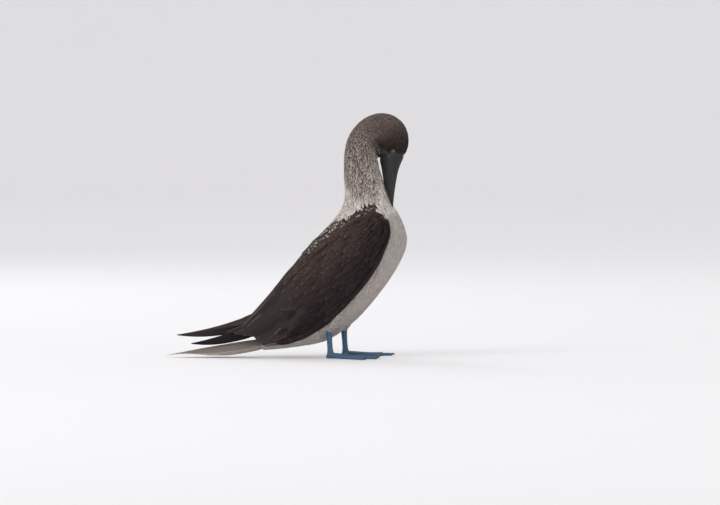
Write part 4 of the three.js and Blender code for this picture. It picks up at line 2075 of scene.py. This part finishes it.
@dataclass
class Tail:
    """The folded tail: a narrow roof of pointed feathers laid back on the floor.

    Measures are in millimetres. The ridge and the eaves run from the root to the tip, and the
    spread is how far the eaves are from the ridge at each of their points.
    """

    pairs: int = 8
    ridge: tuple[tuple[float, float], ...] = (
        (-112, 38),
        (-140, 31),
        (-168, 26.5),
        (-205, 21),
        (-245, 14.5),
        (-280, 8),
        (-306, 2.6),
    )
    eaves: tuple[tuple[float, float], ...] = (
        (-112, 24),
        (-140, 18),
        (-168, 12),
        (-205, 6.5),
        (-245, 3.2),
        (-280, 2.2),
        (-306, 1.6),
    )
    spread: tuple[float, ...] = (7, 11, 15, 18, 19.5, 19, 15)
    half_width: float = 6.4
    shortening: float = 0.4

    def build(self) -> None:
        """Lays the feathers from the lowest outer pair to the long middle pair."""
        rows = tuple(np.linspace(0, 1, 40))
        shape = VaneShape(rows, VaneShape.point, columns=7, camber=0.12, thickness=0.35)
        finish = PlumageFinish(
            "tail_plumage",
            core=(0.36, 0.3, 0.265),
            rim=(0.13, 0.095, 0.08),
            pale_core=(0.5, 0.45, 0.41),
            pale_rim=(0.24, 0.185, 0.155),
            rim_from=0.6,
            rim_to=1.0,
            tip_from=0.86,
            variation=0.45,
            barbs=80.0,
        ).make()
        ridge = smooth_track(PLACE.all(self.ridge), 200)
        eaves = smooth_track(PLACE.all(self.eaves), 200)
        index = np.linspace(0, 1, 200)
        chance = np.random.default_rng(31)
        paths, normals, widths, marks, roots = [], [], [], [], []
        t = np.array(rows)
        for k in range(2 * self.pairs):
            sign = 1 if k % 2 else -1
            out = 1 - (k // 2 + 0.5) / self.pairs
            spot = t * (1.0 - self.shortening * out**1.1 - 0.012 * chance.random())
            top, low = read_line(ridge, index, spot), read_line(eaves, index, spot)
            side = np.interp(spot, np.linspace(0, 1, len(self.spread)), self.spread) * MM
            path = top * (1 - out) + low * out
            path[:, 1] += sign * side * out
            path[:, 2] += (4.5 * (1 - out) - 2.0) * MM * ramp(t, 0.0, 0.3) * (1 - t)
            slope = np.arctan2(top[:, 2] - low[:, 2], side + 2 * MM)
            lean = slope * (0.25 + 0.75 * out)
            facing = np.stack([np.zeros_like(t), sign * np.sin(lean), np.cos(lean)], axis=1)
            ragged = 1 - 0.1 * chance.random(len(t)) * ramp(t, 0.7, 0.95)
            paths.append(path)
            normals.append(facing)
            widths.append(self.half_width * MM * VaneShape.point(t) * ragged * (1 - 0.12 * out))
            marks.append((chance.random(), np.clip(0.75 - 0.5 * out + chance.normal(0, 0.2), 0, 1)))
            roots.append(((k + 0.5) / (2 * self.pairs), (k % 4) / 3))
        feathers = Feathers("tail_feathers", shape)
        paths, normals, widths, marks, roots = map(np.array, (paths, normals, widths, marks, roots))
        feathers.add(paths, unit(normals), widths, marks, roots)
        made = feathers.make()
        keep_above_floor(made)
        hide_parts("tail")
        dress(made, finish)


@dataclass
class Bill:
    """The two halves of the bill, smoothed from their solids and given their grooves.

    Measures are in millimetres. The ridge and the under side run from the root to the tip, before
    the head's turn, and the marks are how far down the upper half their points are.
    """

    voxel: float = 0.55
    relaxing: int = 7
    groove_depth: float = 0.55
    root_depth: float = 5.0
    tip: tuple[float, float] = (95, 257.5)
    ridge: tuple[tuple[float, float], ...] = ((118.5, 352.5), (106.3, 326), (99.8, 293), (96.6, 264.5))
    under: tuple[tuple[float, float], ...] = ((70.4, 348), (75.6, 324.5), (82, 293), (93, 264.5))
    marks: tuple[float, ...] = (0.0, 0.3, 0.67, 1.0)

    def build(self) -> None:
        """Makes both halves."""
        finish = HornFinish("bill_horn", base=(0.0155, 0.015, 0.0165), worn=(0.034, 0.033, 0.035)).make()
        for part in ("upper", "lower"):
            made = remeshed(welded(f"bill_{part}_horn", [f"bill_{part}"]), self.voxel, self.relaxing)
            if part == "upper":
                self._groove(made)
            self._root(made)
            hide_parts(f"bill_{part}")
            dress(made, finish)

    def _root(self, made: bpy.types.Object) -> None:
        """Rounds the bill's rim inwards and runs it on into the face, so that no gap shows.

        Args:
            made: a half of the bill, whose vertices are moved.
        """
        points = coordinates(made.data)
        ridge, under = (np.array(turned(p)) for p in PLACE.all((self.ridge[0], self.under[0])))
        middle = (ridge + under) / 2
        tip = np.array(turned(PLACE.at(*self.tip)))
        edge = unit(ridge - under)
        axis = unit((tip - middle) - edge * ((tip - middle) @ edge))
        reach = (points - middle) @ axis / MM
        share = np.clip(1 - reach / self.root_depth, 0, 1)[:, None]
        line = middle + axis * (reach[:, None] * MM)
        points = points + (line - points) * 0.09 * share**2 - axis * self.root_depth * MM * share**1.5
        move_vertices(made.data, points)

    def _groove(self, made: bpy.types.Object) -> None:
        """Presses the long groove beside the ridge, and a fainter one below it.

        Args:
            made: the upper half, whose vertices are moved.
        """
        points = coordinates(made.data)
        normals = vertex_normals(made.data)
        low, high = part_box("bill_upper")
        fall = (high.z - points[:, 2]) / (high.z - low.z)
        ridge = np.array([turned(p) for p in PLACE.all(self.ridge)])
        under = np.array([turned(p) for p in PLACE.all(self.under)])
        top, base = read_line(ridge, self.marks, fall), read_line(under, self.marks, fall)
        height = ((points - base) * unit(top - base)).sum(axis=1) / np.linalg.norm(top - base, axis=1)
        press = np.exp(-(((height - 0.78) / 0.05) ** 2)) * (1 - ramp(fall, 0.72, 0.92))
        press += 0.6 * np.exp(-(((height - 0.6) / 0.03) ** 2)) * (1 - ramp(fall, 0.5, 0.75))
        move_vertices(made.data, points - normals * (press * self.groove_depth * MM)[:, None])


def turned(point: Sequence[float]) -> Vector:
    """Turns and leans the head.

    Args:
        point: a point of the head before that.

    Returns:
        The point after it.
    """
    pivot = PLACE.at(*HEAD_PIVOT)
    away = Vector(point) - pivot
    cos, sin = math.cos(-HEAD_TURN), math.sin(-HEAD_TURN)
    away = Vector((away.x * cos - away.y * sin, away.x * sin + away.y * cos, away.z))
    cos, sin = math.cos(-HEAD_LEAN), math.sin(-HEAD_LEAN)
    away = Vector((away.x, away.y * cos - away.z * sin, away.y * sin + away.z * cos))
    return pivot + away


@dataclass
class Eye:
    """An eyeball sunk in the head, with the bare ring of lid round it.

    Measures are in millimetres. The lid's section is given from the rim of its opening, as
    (outwards, forwards).
    """

    side: Side
    face: Surface
    opening: float = 4.25
    stand: float = 1.5
    section: tuple[tuple[float, float], ...] = (
        (-0.1, -0.6),
        (-0.12, 0.1),
        (0.08, 0.34),
        (0.4, 0.36),
        (0.75, 0.2),
        (0.95, -0.02),
        (1.15, 0.08),
        (1.5, 0.05),
        (2.1, -0.35),
        (2.9, -0.9),
        (3.7, -1.5),
        (3.7, -3.0),
    )
    axis: Vector = field(init=False)
    centre: Vector = field(init=False)
    pole: Array = field(init=False)

    def __post_init__(self) -> None:
        """Sinks the ball along its axis until only its front stands out of the head."""
        out = Vector((0.1, self.side.value * 0.985, -0.05))
        origin = PLACE.at(*HEAD_PIVOT)
        self.axis = (turned(origin + out) - turned(origin)).normalized()
        low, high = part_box(f"eye_{self.side.word}")
        centre = (low + high) / 2
        spot, _, _, _ = self.face.tree.ray_cast(centre + self.axis * 0.03, -self.axis, 0.06)
        self.centre = spot - self.axis * (EYE_RADIUS - self.stand) * MM
        self.pole = np.array(spot)

    def build(self) -> None:
        """Makes the ball and the lid."""
        turn = self.axis.to_track_quat("Z", "Y").to_matrix().to_4x4()
        turn.translation = self.centre
        ball = bmesh.new()
        bmesh.ops.create_uvsphere(
            ball, u_segments=48, v_segments=32, radius=EYE_RADIUS * MM, matrix=turn
        )
        made = shown(f"eyeball_{self.side.word}", ball)
        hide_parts(f"eye_{self.side.word}")
        dress(made, EyeFinish(f"eye_{self.side.word}", self.centre, self.axis).make())
        self._lid(turn)

    def _lid(self, turn: Matrix) -> None:
        """Spins the lid's section round the eye's axis and lays its outer rim on the face.

        Args:
            turn: the eye's place and direction.
        """
        rim = math.sqrt(EYE_RADIUS**2 - self.opening**2)
        section = [((self.opening + out) * MM, (rim + up) * MM) for out, up in self.section]
        lid = spun(section, 64, closed=True)
        for vert in lid.verts:
            radius = math.hypot(vert.co.x, vert.co.y) / MM - self.opening
            deep = vert.co.z < (rim - 2) * MM
            ripple = 1 + 0.012 * math.sin(11 * math.atan2(vert.co.y, vert.co.x)) * min(radius, 1.0)
            place = turn @ Vector((vert.co.x * ripple * 1.05, vert.co.y * ripple * 0.97, vert.co.z))
            spot, normal, _, _ = self.face.tree.find_nearest(place)
            rest = spot - normal * (2.2 if deep else 0.55) * MM
            share = min(max((radius - 0.9) / 2.2, 0.0), 1.0)
            vert.co = place.lerp(rest, share * share * (3 - 2 * share))
        made = shown(f"eyelid_{self.side.word}", lid)
        finish = HornFinish(
            f"lid_{self.side.word}", base=(0.03, 0.034, 0.039), worn=(0.06, 0.066, 0.07), roughness=0.55
        )
        dress(made, finish.make())


@dataclass
class Claws:
    """The claws, rounded from their solids and sunk a little into the toes."""

    toes: tuple[str, ...] = ("hind", "inner", "middle", "outer")
    sinking: float = 1.3

    def build(self) -> None:
        """Makes every claw of both feet."""
        finish = HornFinish("claw_horn", base=(0.012, 0.014, 0.016), worn=(0.05, 0.05, 0.05)).make()
        for side in Side:
            for toe in self.toes:
                node = f"claw_{side.word}_{toe}"
                made = welded(f"{node}_horn", [node])
                rounding = made.modifiers.new("round", "SUBSURF")
                rounding.levels = rounding.render_levels = 2
                settle(made)
                low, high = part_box(node)
                heel_low, heel_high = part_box(f"tarsus_{side.word}")
                back = (heel_low + heel_high - low - high) / 2
                back.z = 0
                back.normalize()
                move_vertices(made.data, coordinates(made.data) + np.array(back) * self.sinking * MM)
                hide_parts(node)
                dress(made, finish)


@dataclass
class Studio:
    """A pale floor that runs up into a pale backdrop all round, soft lights and the camera.

    Measures are in metres, and a light's power is in watts.
    """

    floor_radius: float = 11.0
    rise_radius: float = 3.0
    wall: float = 4.0
    tone: Triple = (0.78, 0.775, 0.78)

    # Name, place, size and power
    LIGHTS = (
        ("key", (-2.6, -2.4, 3.0), 2.2, 40.0),
        ("back", (-1.6, 3.0, 2.6), 2.0, 26.0),
        ("fill", (2.8, -3.0, 1.6), 2.6, 8.0),
    )
    SKY = (0.985, 0.975, 0.99, 1.0)
    SKY_STRENGTH = 0.9

    def build(self) -> None:
        """Makes the stage, the lights and the camera."""
        self._bowl()
        self._lights()
        self._camera()

    def _bowl(self) -> None:
        """Spins the floor's profile into a bowl round the bird."""
        profile = [(0.0, 0.0), (1.0, 0.0), (4.0, 0.0), (self.floor_radius, 0.0)]
        for i in range(1, 13):
            angle = math.radians(90 * i / 12)
            out = self.floor_radius + self.rise_radius * math.sin(angle)
            profile.append((out, self.rise_radius * (1 - math.cos(angle))))
        profile.append((self.floor_radius + self.rise_radius, self.rise_radius + self.wall))
        floor = shown("floor", spun(profile, 96, closed=False))
        floor.data.materials.append(PlainFinish("floor", self.tone, 0.12).make())

    def _lights(self) -> None:
        """Lights the bird softly from the upper left and front, with a pale sky all round."""
        world = bpy.data.worlds.new("sky")
        world.use_nodes = True
        world.node_tree.nodes["Background"].inputs[0].default_value = self.SKY
        world.node_tree.nodes["Background"].inputs[1].default_value = self.SKY_STRENGTH
        bpy.context.scene.world = world
        bpy.context.scene.view_settings.view_transform = "Standard"
        for name, spot, size, power in self.LIGHTS:
            lamp = bpy.data.lights.new(name, "AREA")
            lamp.shape = "DISK"
            lamp.size = size
            lamp.energy = power
            made = bpy.data.objects.new(name, lamp)
            made.location = spot
            aim = Vector((0, 0, 0.2)) - Vector(spot)
            made.rotation_euler = aim.to_track_quat("-Z", "Y").to_euler()
            bpy.context.scene.collection.objects.link(made)

    def _camera(self) -> None:
        """Sets the camera so that a pixel of the photograph is where it was."""
        lens = bpy.data.cameras.new("camera")
        lens.sensor_width = 36.0
        width = PHOTO_WIDTH * PIXEL * MM
        lens.lens = lens.sensor_width * CAMERA_DISTANCE / width
        lens.clip_end = 60.0
        target = PLACE.at(
            (PHOTO_CENTRE[0] - ORIGIN_COLUMN) * PIXEL, (FLOOR_ROW - PHOTO_CENTRE[1]) * PIXEL
        )
        back = Vector((0, -math.cos(CAMERA_RISE), math.sin(CAMERA_RISE)))
        made = bpy.data.objects.new("camera", lens)
        made.location = target + back * CAMERA_DISTANCE
        made.rotation_euler = (-back).to_track_quat("-Z", "Y").to_euler()
        bpy.context.scene.collection.objects.link(made)
        bpy.context.scene.camera = made


def main() -> None:
    """Builds the bird and its stage."""
    logging.basicConfig(level=logging.INFO, format="%(name)s %(message)s")
    Studio().build()
    bird = Bird()
    LOG.info("surfaces ready")
    Skin(bird).build()
    Bill().build()
    Claws().build()
    for side in Side:
        bird.eyes[side].build()
        Wing(bird, side).build()
        Primaries(side).build()
    Tail().build()
    Plumage(bird).build()


if __name__ == "__main__":
    main()
